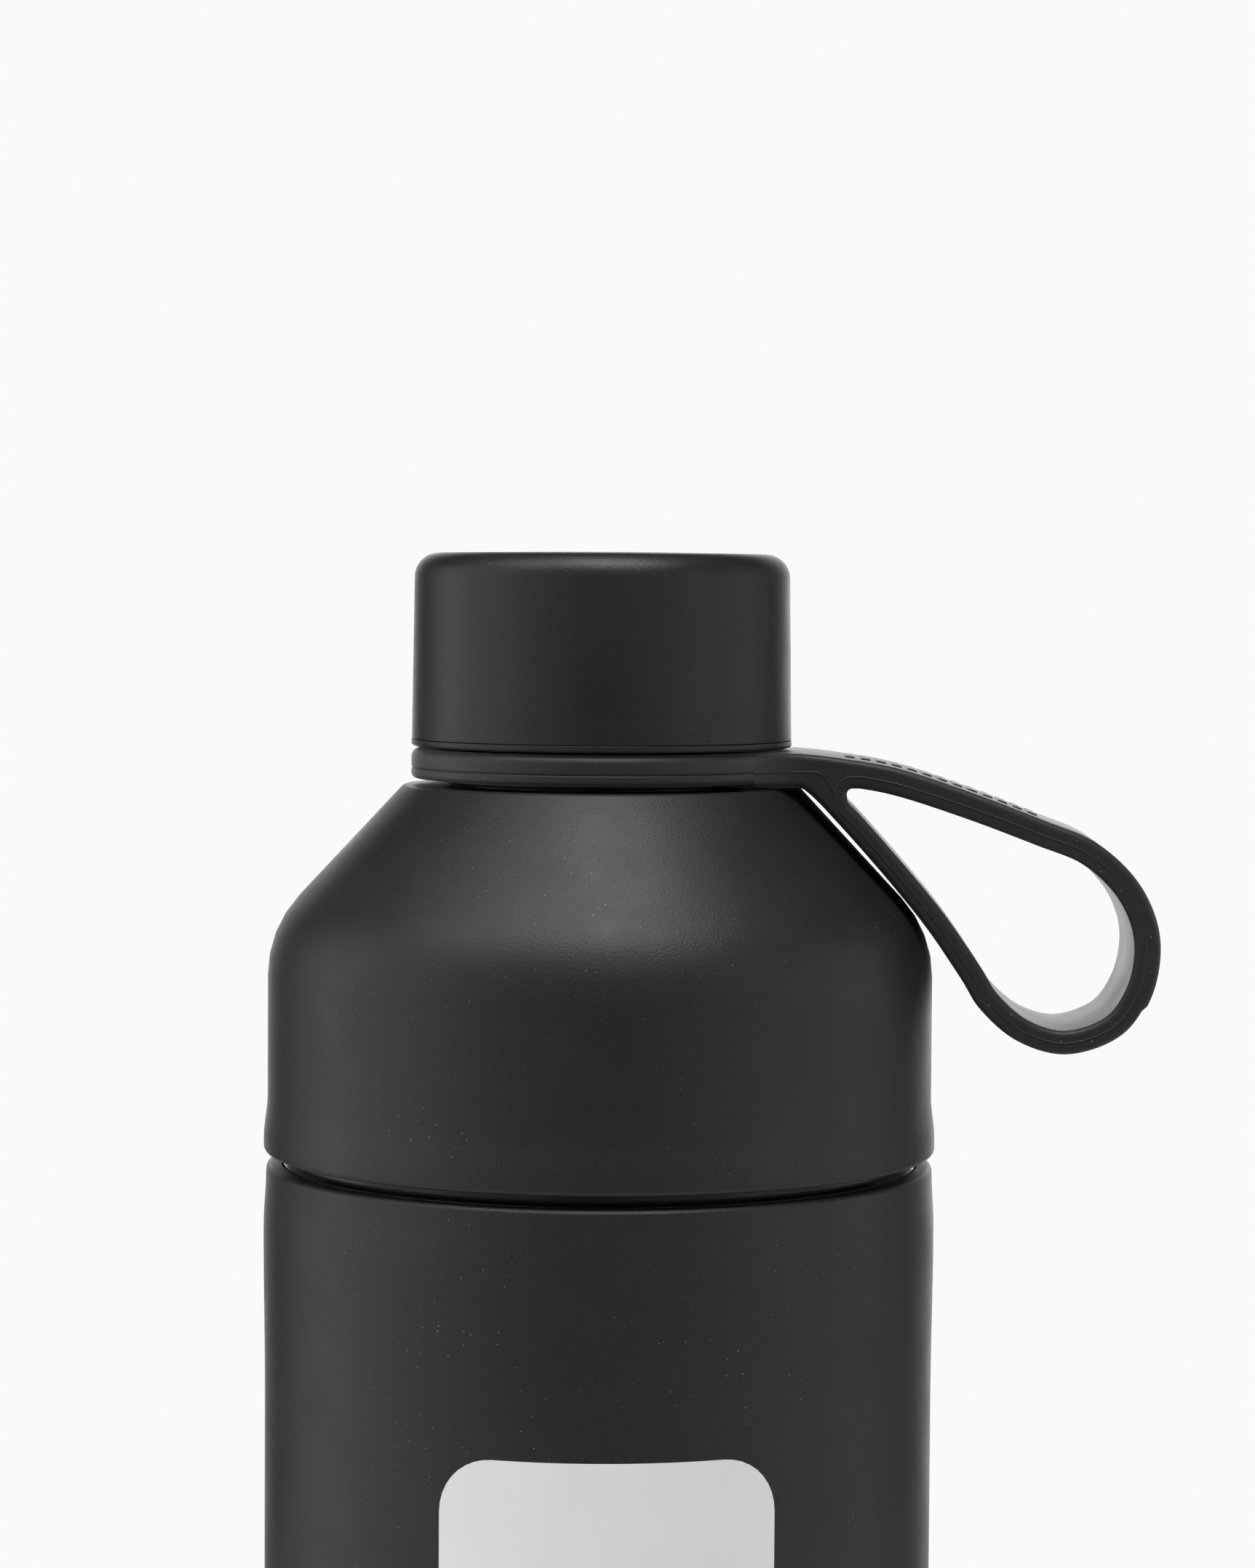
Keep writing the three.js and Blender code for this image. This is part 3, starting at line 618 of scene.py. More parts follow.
def studio_sheet():
    """A matt white sheet that fades out towards its edge, so that it has no hard rim."""
    material, tree, surface, place = new_finish("studio_sheet", Roughness=0.9)
    tone = spread(tree, noise(tree, place, 60, detail=3), 0, 1)
    tint(tree, surface, tone, linear("#ededec"), linear("#f0f0ef"))
    out = add_node(tree, "ShaderNodeVectorMath", {0: place}, operation="LENGTH").outputs["Value"]
    fades_from, fades_to = FLOOR_REACH * 0.45 * MM, FLOOR_REACH * MM
    inputs = {"Value": out, "From Min": fades_from, "From Max": fades_to, "To Min": 1.0, "To Max": 0.0}
    there = add_node(tree, "ShaderNodeMapRange", inputs, interpolation_type="SMOOTHSTEP").outputs[0]
    tree.links.new(there, surface.inputs["Alpha"])
    return material


# ---- Settings ----
def length(name, size, description):
    """A length to set, from its size in mm."""
    return bpy.props.FloatProperty(name=name, description=description, default=size * MM, unit="LENGTH")


def colour(name, shade, description):
    """A colour to set, from its sRGB hex."""
    kind = {"subtype": "COLOR", "size": 4, "min": 0, "max": 1}
    return bpy.props.FloatVectorProperty(name=name, description=description, default=linear(shade), **kind)


class BottleSizes(bpy.types.PropertyGroup):
    """The sizes of the bottle's details."""

    strap_edge: length("Strap edge round", 0.8, "Radius on the edges of the strap's band")
    flash_width: length("Mould flash", 0.17, "Width of the fine line where the strap's mould parts")
    grip_bars: bpy.props.IntProperty(
        name="Grip bars", description="Number of raised bars on top of the strap", default=13, min=2
    )
    grip_length: length("Grip length", 9, "Length of each bar across the strap")
    print_width: length("Print width", 43, "Width of the printed panel round the body")
    print_height: length("Print height", 74, "Height of the printed panel")
    print_drop: length("Print drop", 31, "From the body's lip down to the panel")
    print_turn: bpy.props.FloatProperty(
        name="Print turn",
        description="Turn of the panel from the front",
        default=math.radians(3.8),
        subtype="ANGLE",
    )


class BottleColours(bpy.types.PropertyGroup):
    """The colours that a bottle is ordered in."""

    coat: colour("Coat", "#141415", "Powder coat on the steel")
    cap: colour("Cap", "#151516", "Plastic of the cap")
    strap: colour("Strap", "#1c1c1d", "Silicone of the strap")
    ink: colour("Ink", "#fafaf9", "Ink of the printed panel")


# ---- Outlines of this bottle's pieces ----
def shoulder_corners(inset, start, ledge_round):
    """The chamber's ledge, cone and shoulder as corners, moved in from the outside by an inset."""
    edge = LEDGE_RADIUS - inset * math.tan((math.pi / 2 - CONE_ANGLE) / 2)
    side = CHAMBER_RADIUS - inset
    down = (side - edge) / math.tan(CONE_ANGLE)
    return [
        (start, LEDGE - inset),
        (edge, LEDGE - inset, ledge_round),
        (side, LEDGE - inset - down, SHOULDER_ROUND - inset),
    ]


def beside_cone(down, out):
    """A place beside the cone, as (x, z)."""
    sine, cosine = math.sin(CONE_ANGLE), math.cos(CONE_ANGLE)
    return Vector((LEDGE_RADIUS + down * sine + out * cosine, LEDGE - down * cosine + out * sine))


def smooth_through(points, steps):
    """Evenly spaced points on a smooth curve through the ones given."""
    dense = []
    fine = 24  # steps from each point to the next, before they are spaced evenly
    count = len(points)
    for i in range(count - 1):
        p = [points[max(i - 1, 0)], points[i], points[i + 1], points[min(i + 2, count - 1)]]
        for k in range(fine):
            t = k / fine
            v0, v1 = (p[2] - p[0]) / 2, (p[3] - p[1]) / 2
            cubic = (2 * p[1] - 2 * p[2] + v0 + v1) * t**3 + (-3 * p[1] + 3 * p[2] - 2 * v0 - v1) * t**2
            dense.append(cubic + v0 * t + p[1])
    dense.append(points[-1])
    lengths = [0]
    for a, b in zip(dense, dense[1:]):
        lengths.append(lengths[-1] + (b - a).length)
    even, at = [], 0
    for k in range(steps + 1):
        want = lengths[-1] * k / steps
        while at < len(dense) - 2 and lengths[at + 1] < want:
            at += 1
        share = (want - lengths[at]) / (lengths[at + 1] - lengths[at])
        even.append(dense[at].lerp(dense[at + 1], share))
    return even


def strap_edges():
    """The strap seen from the side: its outside edge and the edge of its finger hole, as closed lines."""
    middle = smooth_through([beside_cone(*place) for place in STRAP_MIDDLE], STRAP_PATH_STEPS)
    first, last = STRAP_THICKNESS
    half = [(first + (last - first) * i / STRAP_PATH_STEPS) / 2 for i in range(STRAP_PATH_STEPS + 1)]
    step = Vector(MOULD_STEP)
    past = min(range(len(middle)), key=lambda i: (middle[i] - step).length)
    run = MOULD_STEP_RUN
    swell = [min(1, max(0, (i - past + run) / run)) if i < past else 0 for i in range(len(middle))]
    proud = [h + MOULD_STEP_HIGH * share for h, share in zip(half, swell)]
    outside = [p for p in beside(middle, proud) if p.x > RING_RADIUS + 3.5]
    root_low = [tuple(beside_cone(*place)) for place in ((1.6, 0.6), (0.3, 0.42))]
    low, high = LEDGE + 0.38, RING_TOP - 0.06  # the root's faces
    upper = [(STRAP_ROOT_END, high), (RING_RADIUS + 0.8, high - 0.02)]
    lower = [tuple(outside[-1]), *root_low, (RING_RADIUS + 0.7, low, 0.5), (STRAP_ROOT_END, low + 0.1)]
    around = rounded(upper) + outside + rounded(lower)[1:]
    tip = beside_cone(*STRAP_CROTCH)
    hole = [p for p in beside(middle, [-h for h in half]) if p.x > tip.x + 1.1]
    corners = [tuple(hole[-1]), (tip.x + 0.3, tip.y - 0.75, 0.9), (tip.x, tip.y + 1.15, 1.2), tuple(hole[0])]
    rim = hole + rounded(corners)[1:-1]
    return around, rim


def root_half_width(x):
    """Half the strap's width at x, which grows round its root until it meets the ring."""
    starts = math.sqrt((RING_RADIUS + STRAP_ROOT_ROUND) ** 2 - (STRAP_HALF_WIDTH + STRAP_ROOT_ROUND) ** 2)
    reach_in = min(max(starts - x, 0), STRAP_ROOT_ROUND * 0.8)
    return STRAP_HALF_WIDTH + STRAP_ROOT_ROUND - math.sqrt(STRAP_ROOT_ROUND**2 - reach_in**2)


def root_place(x, y, z):
    """Where a point of the straight band goes, in metres: its root widens to run into the ring."""
    return (x * MM, y * MM * root_half_width(x) / STRAP_HALF_WIDTH, z * MM)


def runs_clockwise(line):
    """Whether a closed line runs round clockwise."""
    return sum(a.x * b.y - b.x * a.y for a, b in zip(line, line[1:] + line[:1])) < 0


def strap_band(edge_round):
    """The strap's band, web and finger hole, as a bmesh in metres."""
    around, rim = strap_edges()
    bm = bmesh.new()
    layers = [(edge_round + 0.25, 0)]
    for angle in (math.radians(a) for a in range(0, 91, 18)):
        layers.append((edge_round * (1 - math.sin(angle)), edge_round * (1 - math.cos(angle))))
    for line, inward in ((around, -1), (rim, 1)):
        way = inward if runs_clockwise(line) else -inward
        rings = []
        for side in (-1, 1):
            made = []
            for inset, up in layers:
                moved = beside(line, way * inset, closed=True)
                made.append([bm.verts.new((p.x, side * (STRAP_HALF_WIDTH - up), p.y)) for p in moved])
            rings += made if side < 0 else made[::-1]
        for low, high in zip(rings, rings[1:]):
            skin_between(bm, low, high)
        if inward < 0:
            outer_rings = rings
        else:
            hole_rings = rings
    for end in (0, -1):
        loops = [outer_rings[end], hole_rings[end]]
        flat = [[Vector((v.co.x, v.co.z, 0)) for v in loop] for loop in loops]
        verts = loops[0] + loops[1]
        for a, b, c in tessellate_polygon(flat):
            bm.faces.new((verts[a], verts[b], verts[c]))
    for out in STRAP_ROOT_CUTS:
        whole = [*bm.verts, *bm.edges, *bm.faces]
        bmesh.ops.bisect_plane(bm, geom=whole, plane_co=(out, 0, 0), plane_no=(1, 0, 0))
    for vert in bm.verts:
        vert.co = root_place(*vert.co)
    bmesh.ops.recalc_face_normals(bm, faces=bm.faces)
    return bm


def ring_outline():
    """The strap's ring: a band with a rounded bead above and below the mould's parting."""
    parting = RING_FOOT + RING_PARTING
    bore = COLLAR_RADIUS + 0.3
    return rounded(
        [
            (bore, RING_FOOT, 0.3),
            (RING_RADIUS, RING_FOOT, 0.8),
            (RING_RADIUS, parting - 0.08, 0.3),
            (RING_RADIUS - 0.3, parting, 0.05),
            (RING_RADIUS, parting + 0.1, 0.4),
            (RING_RADIUS, RING_TOP, 1.1),
            (bore + 0.9, RING_TOP, 0.2),
            (bore + 0.9, RING_TOP - 0.9, 0.1),
            (bore, RING_TOP - 1.5, 0.1),
        ],
        closed=True,
    )


def bore_outline():
    """What is cut from the strap's root to clear the spout's collar, just wider than the ring's bore."""
    bore = COLLAR_RADIUS + 0.9
    low, high = RING_FOOT - 3, RING_TOP + 3  # well past the root's faces
    step = [(bore, RING_TOP - 1.3), (bore + 0.9, RING_TOP - 0.7)]
    return [Vector(p) for p in ((0, low), (bore, low), *step, (bore + 0.9, high), (0, high))]


# ---- Operators ----
class BottleBody(bpy.types.Operator):
    """Make the coated body, its liner, and the dish and pad under it"""

    bl_idname = "bottle.body"
    bl_label = "Body"

    def execute(self, context):
        colours = context.scene.bottle_colours
        coat, steel, rubber = powder_coat(colours), polished_liner_steel(), seal_silicone()
        skin = rounded(
            [
                (FOOT_OPENING, BODY_FOOT),
                (BODY_RADIUS, BODY_FOOT, 5),
                *eased((BODY_RADIUS, BODY_LIP - 30), (LIP_RADIUS, BODY_LIP - 10)),
                *eased((LIP_RADIUS, BODY_LIP - 8), (LIP_RADIUS - 0.3, BODY_LIP - 1.3)),
                (LIP_RADIUS - 0.4, BODY_LIP, 0.8),
                (LIP_RADIUS - 2.3, BODY_LIP),
            ]
        )
        outer = piece("body_skin", turned(sheet_outline(skin, STEEL_WALL)), coat)
        settle(outer, "flask", "coated_steel", "outer_shell")

        wet = rounded(
            [
                (0, LINER_FLOOR),
                (LINER_RADIUS, LINER_FLOOR, 10),
                (LINER_RADIUS, BODY_LIP - 21, 3),
                (MOUTH_RADIUS, BODY_LIP - 17, 2),
                (MOUTH_RADIUS, BODY_LIP, 0.9),
                (BODY_RADIUS - 2.4, BODY_LIP),
            ]
        )
        foot = MOUTH_THREAD_FOOT + MOUTH_THREAD["pitch"] / 2
        thread = ridge("liner_thread", MOUTH_THREAD, steel, MOUTH_RADIUS, -1, foot)
        liner = piece("liner", together(turned(sheet_outline(wet, -STEEL_WALL)), thread), steel)
        settle(liner, "flask", "bare_steel", "inner_liner")

        dimple, level = 5.8, 3  # heights of the dish, round the exhaust hole and outside that
        under = rounded(
            [
                (1, dimple),
                (4.5, dimple, 0.8),
                (6, level, 0.8),
                (FOOT_OPENING - 2.3, level, 0.8),
                (FOOT_OPENING - 1.3, BODY_FOOT, 0.5),
                (FOOT_OPENING - 0.3, BODY_FOOT),
            ]
        )
        dish = piece("base_dish_steel", turned(sheet_outline(under, STEEL_WALL), SMALL_STEPS), steel)
        settle(dish, "flask", "bare_steel", "base_dish")

        tread = [(0, PAD_FOOT)]
        for groove in (8, 14, 20, 26):
            for out, up in ((-0.8, 0), (-0.4, 0.5), (0.4, 0.5), (0.8, 0)):
                tread.append((groove + out, PAD_FOOT + up, 0.2))
        tread += [(PAD_RADIUS, PAD_FOOT, 1), (PAD_RADIUS, PAD_TOP, 0.2), (0, PAD_TOP)]
        pad = piece("tread_pad", turned(rounded(tread), SEAL_STEPS), rubber)
        settle(pad, "flask", "seal_silicone", "base_pad")
        for node, finish in (("exhaust_seal", solder_glass()), ("getter_capsule", pressed_getter_metal())):
            repaint(node, finish)
        return {"FINISHED"}


def repaint(node, finish):
    """Gives a CAD piece that stays a finish of its own."""
    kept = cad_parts[node]
    if not kept.material_slots:
        kept.data.materials.append(finish)
    for place in kept.material_slots:
        place.material = finish


def ridge(name, thread, finish, radius, outward, foot):
    """A screw thread's ridge on a round wall, which stands out from the axis (1) or in towards it (-1)."""
    sizes = {size.capitalize(): thread[size] * MM for size in ("pitch", "depth", "root", "crest")}
    sizes |= {"Radius": radius * MM, "Foot": foot * MM, "Sunk": THREAD_SUNK * MM}
    sizes |= {"Turns": float(thread["turns"]), "Outward": float(outward)}
    return grown(name, bpy.data.node_groups["screw_thread"], sizes, finish)


def seal(name, node, body, inner, edge_round, steps):
    """Makes a seal as wide and as high as its CAD node: a square band with its edges rounded."""
    outer, low, high = reach(node)
    corners = ((inner, low), (outer, low), (outer, high), (inner, high))
    band = rounded([(*corner, edge_round) for corner in corners], closed=True)
    made = piece(name, turned(band, steps), bpy.data.materials["food_seal_silicone"])
    settle(made, body, "seal_silicone", node)


class BottlePrint(bpy.types.Operator):
    """Print a plain panel on the body's front"""

    bl_idname = "bottle.print"
    bl_label = "Printed panel"

    def execute(self, context):
        sizes = context.scene.bottle_sizes
        wide, high = sizes.print_width / MM, sizes.print_height / MM
        top = BODY_LIP - sizes.print_drop / MM
        corner, columns = PRINT_CORNER, PRINT_COLUMNS
        arc = [0] + [corner * (1 - math.cos(math.radians(a))) for a in range(10, 90, 10)]
        rows = arc + [corner + (high - 2 * corner) * k / 12 for k in range(13)]
        rows += [high - r for r in reversed(arc)]
        bm = bmesh.new()
        grids = []
        for radius in (BODY_RADIUS + INK_FILM, BODY_RADIUS - INK_SUNK):
            grid = []
            for row in rows:
                lack = corner - min(row, high - row, corner)
                half = wide / 2 - corner + math.sqrt(max(corner**2 - lack**2, 0))
                line = []
                for k in range(columns + 1):
                    turn = -math.pi / 2 + sizes.print_turn + half * (2 * k / columns - 1) / BODY_RADIUS
                    place = (radius * math.cos(turn) * MM, radius * math.sin(turn) * MM, (top - row) * MM)
                    line.append(bm.verts.new(place))
                grid.append(line)
            grids.append(grid)
            for above, below in zip(grid, grid[1:]):
                for k in range(columns):
                    bm.faces.new((above[k], above[k + 1], below[k + 1], below[k]))
        rims = [
            grid[0] + [line[-1] for line in grid[1:]] + grid[-1][-2::-1] + [line[0] for line in grid[-2:0:-1]]
            for grid in grids
        ]
        skin_between(bm, *rims)
        bmesh.ops.recalc_face_normals(bm, faces=bm.faces)
        settle(piece("print_panel", bm, print_ink(context.scene.bottle_colours)), "flask", None)
        return {"FINISHED"}


class BottleChamber(bpy.types.Operator):
    """Make the shoulder, its moulding and gasket, and the spout with its seal"""

    bl_idname = "bottle.chamber"
    bl_label = "Chamber and spout"

    def execute(self, context):
        coat = bpy.data.materials["powder_coated_steel"]
        plastic = glossy_polypropylene()
        shoulder = rounded(
            [
                *shoulder_corners(0, NECK_HOLE, 0.9),
                *eased((CHAMBER_RADIUS, SEAM + 7.5), (HEM_RADIUS, SEAM + 1.9)),
                (HEM_RADIUS, SEAM + 0.2, 0.75),
                (HEM_RADIUS - 2.4, SEAM),
            ]
        )
        skin = piece("shoulder_skin", turned(sheet_outline(shoulder, -STEEL_WALL)), coat)
        settle(skin, "chamber", "coated_steel", "chamber_shell")

        inset = STEEL_WALL + 0.3
        wall = rounded(
            [
                *shoulder_corners(inset, NECK_HOLE, 0.6),
                (CHAMBER_RADIUS - inset, SEAM + inset, 0.4),
                (SKIRT_RADIUS, SEAM + inset, 0.4),
                (SKIRT_RADIUS, SKIRT_FOOT),
            ]
        )
        thread = ridge("moulding_thread", MOUTH_THREAD, plastic, SKIRT_RADIUS, 1, MOUTH_THREAD_FOOT)
        moulding = piece("moulding", together(turned(sheet_outline(wall, -MOULDED_WALL)), thread), plastic)
        settle(moulding, "chamber", "inner_plastic", "chamber_moulding")

        seal("gasket", "seam_gasket", "seam_seal", SKIRT_RADIUS + 2, 0.6, SEAL_STEPS)

        catch = SPOUT_TAIL + 3
        flange = LEDGE + 1.4
        tube = [
            (SPOUT_BORE, SPOUT_TAIL, 0.3),
            (SPOUT_RADIUS, SPOUT_TAIL, 0.3),
            (NECK_HOLE + 0.8, catch - 1.5, 0.2),
            (NECK_HOLE + 0.8, catch, 0.2),
            (NECK_HOLE - 0.3, catch, 0.2),
            (NECK_HOLE - 0.3, flange, 0.2),
            (COLLAR_RADIUS, flange, 0.3),
            (COLLAR_RADIUS, RING_TOP - 1.2, 0.2),
            (COLLAR_RADIUS + 0.9, RING_TOP - 0.6, 0.2),
            (COLLAR_RADIUS + 0.9, RING_TOP, 0.3),
            (SPOUT_RADIUS, RING_TOP, 0.5),
            (SPOUT_RADIUS, SPOUT_LIP, 1.05),
            (SPOUT_BORE, SPOUT_LIP, 1.05),
        ]
        foot = CAP_THREAD_FOOT + CAP_THREAD["pitch"] / 2
        thread = ridge("spout_thread", CAP_THREAD, plastic, SPOUT_RADIUS, 1, foot)
        wall = turned(rounded(tube, closed=True), NECK_STEPS)
        neck = piece("spout_moulding", together(wall, thread), plastic)
        settle(neck, "chamber", "inner_plastic", "spout")

        seal("spout_ring_seal", "spout_seal", "chamber", NECK_HOLE, 0.25, SMALL_STEPS)
        return {"FINISHED"}


class BottleStrap(bpy.types.Operator):
    """Make the silicone strap: its ring, web and loop, its mould lines and its grip bars"""

    bl_idname = "bottle.strap"
    bl_label = "Strap"

    def execute(self, context):
        sizes = context.scene.bottle_sizes
        silicone = silicone_rubber(context.scene.bottle_colours)
        band = piece("strap", strap_band(sizes.strap_edge / MM), silicone)
        ring = piece("strap_ring", turned(ring_outline(), NECK_STEPS), silicone)
        bore = piece("strap_bore", turned(bore_outline(), NECK_STEPS), silicone)
        for other, operation in ((bore, "DIFFERENCE"), (ring, "UNION")):
            modifier = band.modifiers.new(other.name, "BOOLEAN")
            modifier.object, modifier.operation, modifier.solver = other, operation, "EXACT"
        graph = bpy.context.evaluated_depsgraph_get()
        united = bpy.data.meshes.new_from_object(band.evaluated_get(graph))
        band.modifiers.clear()
        for other in (bore, ring):
            bpy.data.objects.remove(other)
        whole = bmesh.new()
        whole.from_mesh(united)
        bpy.data.meshes.remove(united)
        if not whole.faces:
            raise RuntimeError("the strap's band and ring didn't unite")

        flash = flash_tree()
        around, rim = strap_edges()
        parting = beside(rim, STRAP_PARTING if runs_clockwise(rim) else -STRAP_PARTING, closed=True)
        crotch = min(parting, key=lambda p: p.x)
        level = RING_FOOT + RING_PARTING
        # From the ring to the crotch, the parting runs along the side of the root.
        root = [(19.6, level), (23, level + 0.05), (26, level + 0.1), (28.2, level), (29.4, level - 0.8)]
        lead = smooth_through([Vector(p) for p in [*root, (crotch.x, crotch.y)]], 24)
        lines = []
        for side in (-1, 1):
            for number, (line, closed) in enumerate(((parting, True), (lead, False))):
                points = [root_place(p.x, side * (STRAP_HALF_WIDTH + 0.01), p.y) for p in line]
                edges = [(k, k + 1) for k in range(len(points) - 1)]
                if closed:
                    edges.append((len(points) - 1, 0))
                name = f"flash_{number}_{'near' if side < 0 else 'far'}"
                lines.append(grown(name, flash, {"Width": sizes.flash_width}, silicone, points, edges))

        top = [p for p in around[: len(around) // 2] if GRIP_FROM < p.x < GRIP_TO and p.y > GRIP_ABOVE]
        places = [(p.x * MM, 0, p.y * MM) for p in top]
        edges = [(k, k + 1) for k in range(len(places) - 1)]
        grips = {"Bars": sizes.grip_bars, "Long": sizes.grip_length, "Wide": 1.4 * MM, "High": 0.5 * MM}
        bars = grown("grip", grip_tree(), grips, silicone, places, edges)
        bpy.data.objects.remove(band)
        strap = piece("strap", together(whole, bars, *lines), silicone)
        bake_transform(strap)
        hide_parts("neck_ring", "strap_loop")
        return {"FINISHED"}


class BottleCap(bpy.types.Operator):
    """Make the cap's shell, its threaded insert and its seal"""

    bl_idname = "bottle.cap"
    bl_label = "Cap"

    def execute(self, context):
        plastic = spark_textured_plastic(context.scene.bottle_colours)
        side = CAP_RADIUS - 0.4
        crown = [(side * k / 12, CAP_TOP - 0.25 * (k / 10) ** 2) for k in range(10)]
        outside = rounded([*crown, (side, CAP_TOP - 0.25, 3.2), (CAP_RADIUS - 0.05, CAP_FOOT + 0.95)])
        shell = piece("cap_skin", turned(rim_softened(sheet_outline(outside, -CAP_WALL))), plastic)
        settle(shell, "cap", "cap_plastic", "cap_shell")

        outer = INSERT_BORE + MOULDED_WALL
        ceiling = INSERT_TOP - MOULDED_WALL
        cup = rounded(
            [
                (0, ceiling),
                (INSERT_BORE, ceiling, 0.8),
                (INSERT_BORE, CAP_FOOT, 0.4),
                (CAP_RADIUS, CAP_FOOT, 0.6),
                (CAP_RADIUS, CAP_FOOT + 0.9, 0.06),
                (outer, CAP_FOOT + 0.9),
                (outer, INSERT_TOP, 0.5),
                (0, INSERT_TOP),
            ]
        )
        thread = ridge("insert_thread", CAP_THREAD, plastic, INSERT_BORE, -1, CAP_THREAD_FOOT)
        insert = piece("cap_screw_insert", together(turned(cup, NECK_STEPS), thread), plastic)
        settle(insert, "cap", "cap_plastic", "cap_insert")

        seal("cap_ring_seal", "cap_seal", "lip_seal", SPOUT_BORE - 1, 0.4, SEAL_STEPS)
        repaint("cap_foam", closed_cell_foam())
        return {"FINISHED"}


def rim_softened(outline, edge_round=0.15):
    """The cap's outline with its lower rim's two corners rounded a little."""
    lowest = min(p.y for p in outline)
    corners = [(p.x, p.y, edge_round) if p.y - lowest < 0.3 else (p.x, p.y) for p in outline]
    return rounded(corners, closed=True)


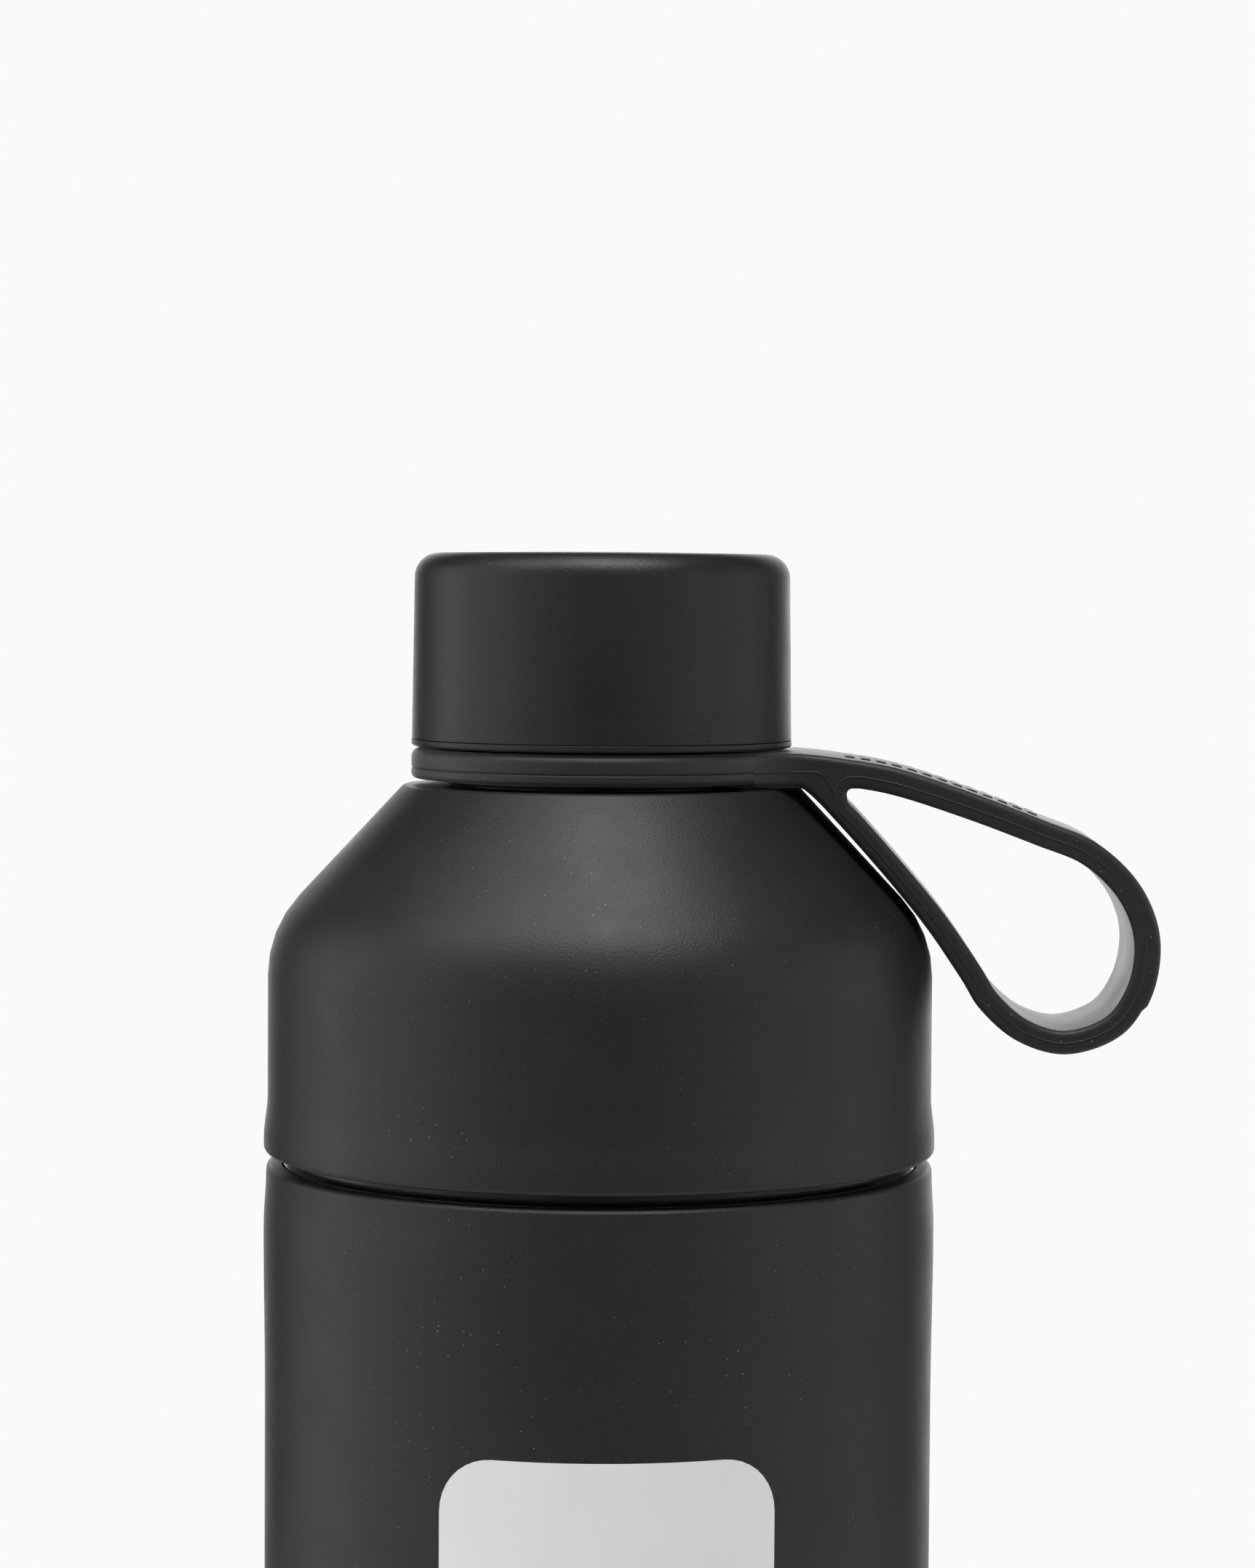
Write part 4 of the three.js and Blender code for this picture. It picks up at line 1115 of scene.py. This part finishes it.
class BottleStudio(bpy.types.Operator):
    """Set up the camera, a pale floor, soft boxes and a white surround"""

    bl_idname = "bottle.studio"
    bl_label = "Studio"

    def execute(self, context):
        scene = context.scene
        scene.view_settings.view_transform = "Standard"
        self.camera(scene)
        self.floor(scene)
        for azimuth, power in STANDING_BOXES:
            self.soft_box(scene, f"standing_box_{azimuth}", (azimuth, 4, 1300), (500, 1300), power)
        for azimuth, elevation, power in HIGH_BOXES:
            self.soft_box(scene, f"high_box_{azimuth}", (azimuth, elevation, 1200), (500, 400), power)
        self.surround(scene)
        return {"FINISHED"}

    def camera(self, scene):
        heading = CAMERA_YAW - CAMERA_ROUND
        level, fall = math.cos(CAMERA_DOWN), -math.sin(CAMERA_DOWN)
        forward = Vector((math.sin(heading) * level, math.cos(heading) * level, fall))
        right = Vector((math.cos(heading), -math.sin(heading), 0))
        up = right.cross(forward)
        right, up = (
            right * math.cos(CAMERA_ROLL) + up * math.sin(CAMERA_ROLL),
            up * math.cos(CAMERA_ROLL) - right * math.sin(CAMERA_ROLL),
        )
        data = bpy.data.cameras.new("bottle_camera")
        data.sensor_fit = "VERTICAL"
        data.sensor_height = CAMERA_SENSOR
        data.lens = CAMERA_LENS
        camera = bpy.data.objects.new("bottle_camera", data)
        away = CAMERA_AWAY * MM
        place = Vector((away * math.sin(CAMERA_ROUND), -away * math.cos(CAMERA_ROUND), CAMERA_HEIGHT * MM))
        camera.matrix_world = Matrix.Translation(place) @ Matrix((right, up, -forward)).transposed().to_4x4()
        scene.collection.objects.link(camera)
        scene.camera = camera

    def floor(self, scene):
        bm = bmesh.new()
        centre = bm.verts.new((0, 0, FLOOR_LEVEL * MM))
        radii = (60, 120, 240, 400, FLOOR_REACH)
        rings = [circle_of_verts(bm, radius, FLOOR_LEVEL, FLOOR_STEPS) for radius in radii]
        for k in range(FLOOR_STEPS):
            bm.faces.new((centre, rings[0][k - 1], rings[0][k]))
            for near, far in zip(rings, rings[1:]):
                bm.faces.new((near[k - 1], far[k - 1], far[k], near[k]))
        piece("studio_floor", bm, studio_sheet())

    def soft_box(self, scene, name, place, size, power):
        """An area light aimed at the seam, from an azimuth and elevation in degrees and so many mm away."""
        azimuth, elevation, away = place
        aim = Vector((0, 0, SEAM * MM))
        turn, rise = math.radians(azimuth), math.radians(elevation)
        out = Vector((math.sin(turn) * math.cos(rise), -math.cos(turn) * math.cos(rise), math.sin(rise)))
        data = bpy.data.lights.new(name, "AREA")
        data.shape = "RECTANGLE"
        data.size, data.size_y, data.energy = size[0] * MM, size[1] * MM, power
        light = bpy.data.objects.new(name, data)
        facing = out.to_track_quat("Z", "Y").to_matrix().to_4x4()
        light.matrix_world = Matrix.Translation(aim + out * away * MM) @ facing
        light.visible_camera = False
        scene.collection.objects.link(light)

    def surround(self, scene):
        """White where the camera sees it; for the rest, a bright sheet behind the bottle in a dark room."""
        world = bpy.data.worlds.new("white_surround")
        scene.world = world
        world.use_nodes = True
        tree = world.node_tree
        tree.nodes.clear()
        direction = add_node(tree, "ShaderNodeTexCoord").outputs["Generated"]
        parts = add_node(tree, "ShaderNodeSeparateXYZ", {0: direction}).outputs
        sheet = {"Value": parts[1], "From Min": 0.85, "From Max": 0.99, "To Min": 0.0, "To Max": 4.2}
        behind = add_node(tree, "ShaderNodeMapRange", sheet, interpolation_type="SMOOTHSTEP").outputs[0]
        room = add_node(tree, "ShaderNodeBackground", {"Color": (1, 1, 1, 1), "Strength": behind})
        seen = add_node(tree, "ShaderNodeBackground", {"Color": linear("#fafafa"), "Strength": 1.0})
        ray = add_node(tree, "ShaderNodeLightPath").outputs["Is Camera Ray"]
        both = add_node(tree, "ShaderNodeMixShader", {0: ray, 1: room.outputs[0], 2: seen.outputs[0]})
        add_node(tree, "ShaderNodeOutputWorld", {"Surface": both.outputs[0]})


class BottlePanel(bpy.types.Panel):
    """The bottle's sizes, colours and pieces"""

    bl_idname = "VIEW3D_PT_bottle"
    bl_label = "Insulated water bottle"
    bl_space_type = "VIEW_3D"
    bl_region_type = "UI"
    bl_category = "Bottle"

    def draw(self, context):
        for group in (context.scene.bottle_sizes, context.scene.bottle_colours):
            for name in group.__annotations__:
                self.layout.prop(group, name)
        for operator in OPERATORS:
            self.layout.operator(operator.bl_idname)


OPERATORS = (BottleBody, BottlePrint, BottleChamber, BottleStrap, BottleCap, BottleStudio)
CLASSES = (BottleSizes, BottleColours, *OPERATORS, BottlePanel)


def register():
    for cls in CLASSES:
        bpy.utils.register_class(cls)
    bpy.types.Scene.bottle_sizes = bpy.props.PointerProperty(type=BottleSizes)
    bpy.types.Scene.bottle_colours = bpy.props.PointerProperty(type=BottleColours)


def unregister():
    del bpy.types.Scene.bottle_colours
    del bpy.types.Scene.bottle_sizes
    for cls in reversed(CLASSES):
        bpy.utils.unregister_class(cls)


def main():
    register()
    thread_tree()
    bottle = bpy.ops.bottle
    for make in (bottle.body, bottle.print, bottle.chamber, bottle.strap, bottle.cap, bottle.studio):
        make()


if __name__ == "__main__":
    main()
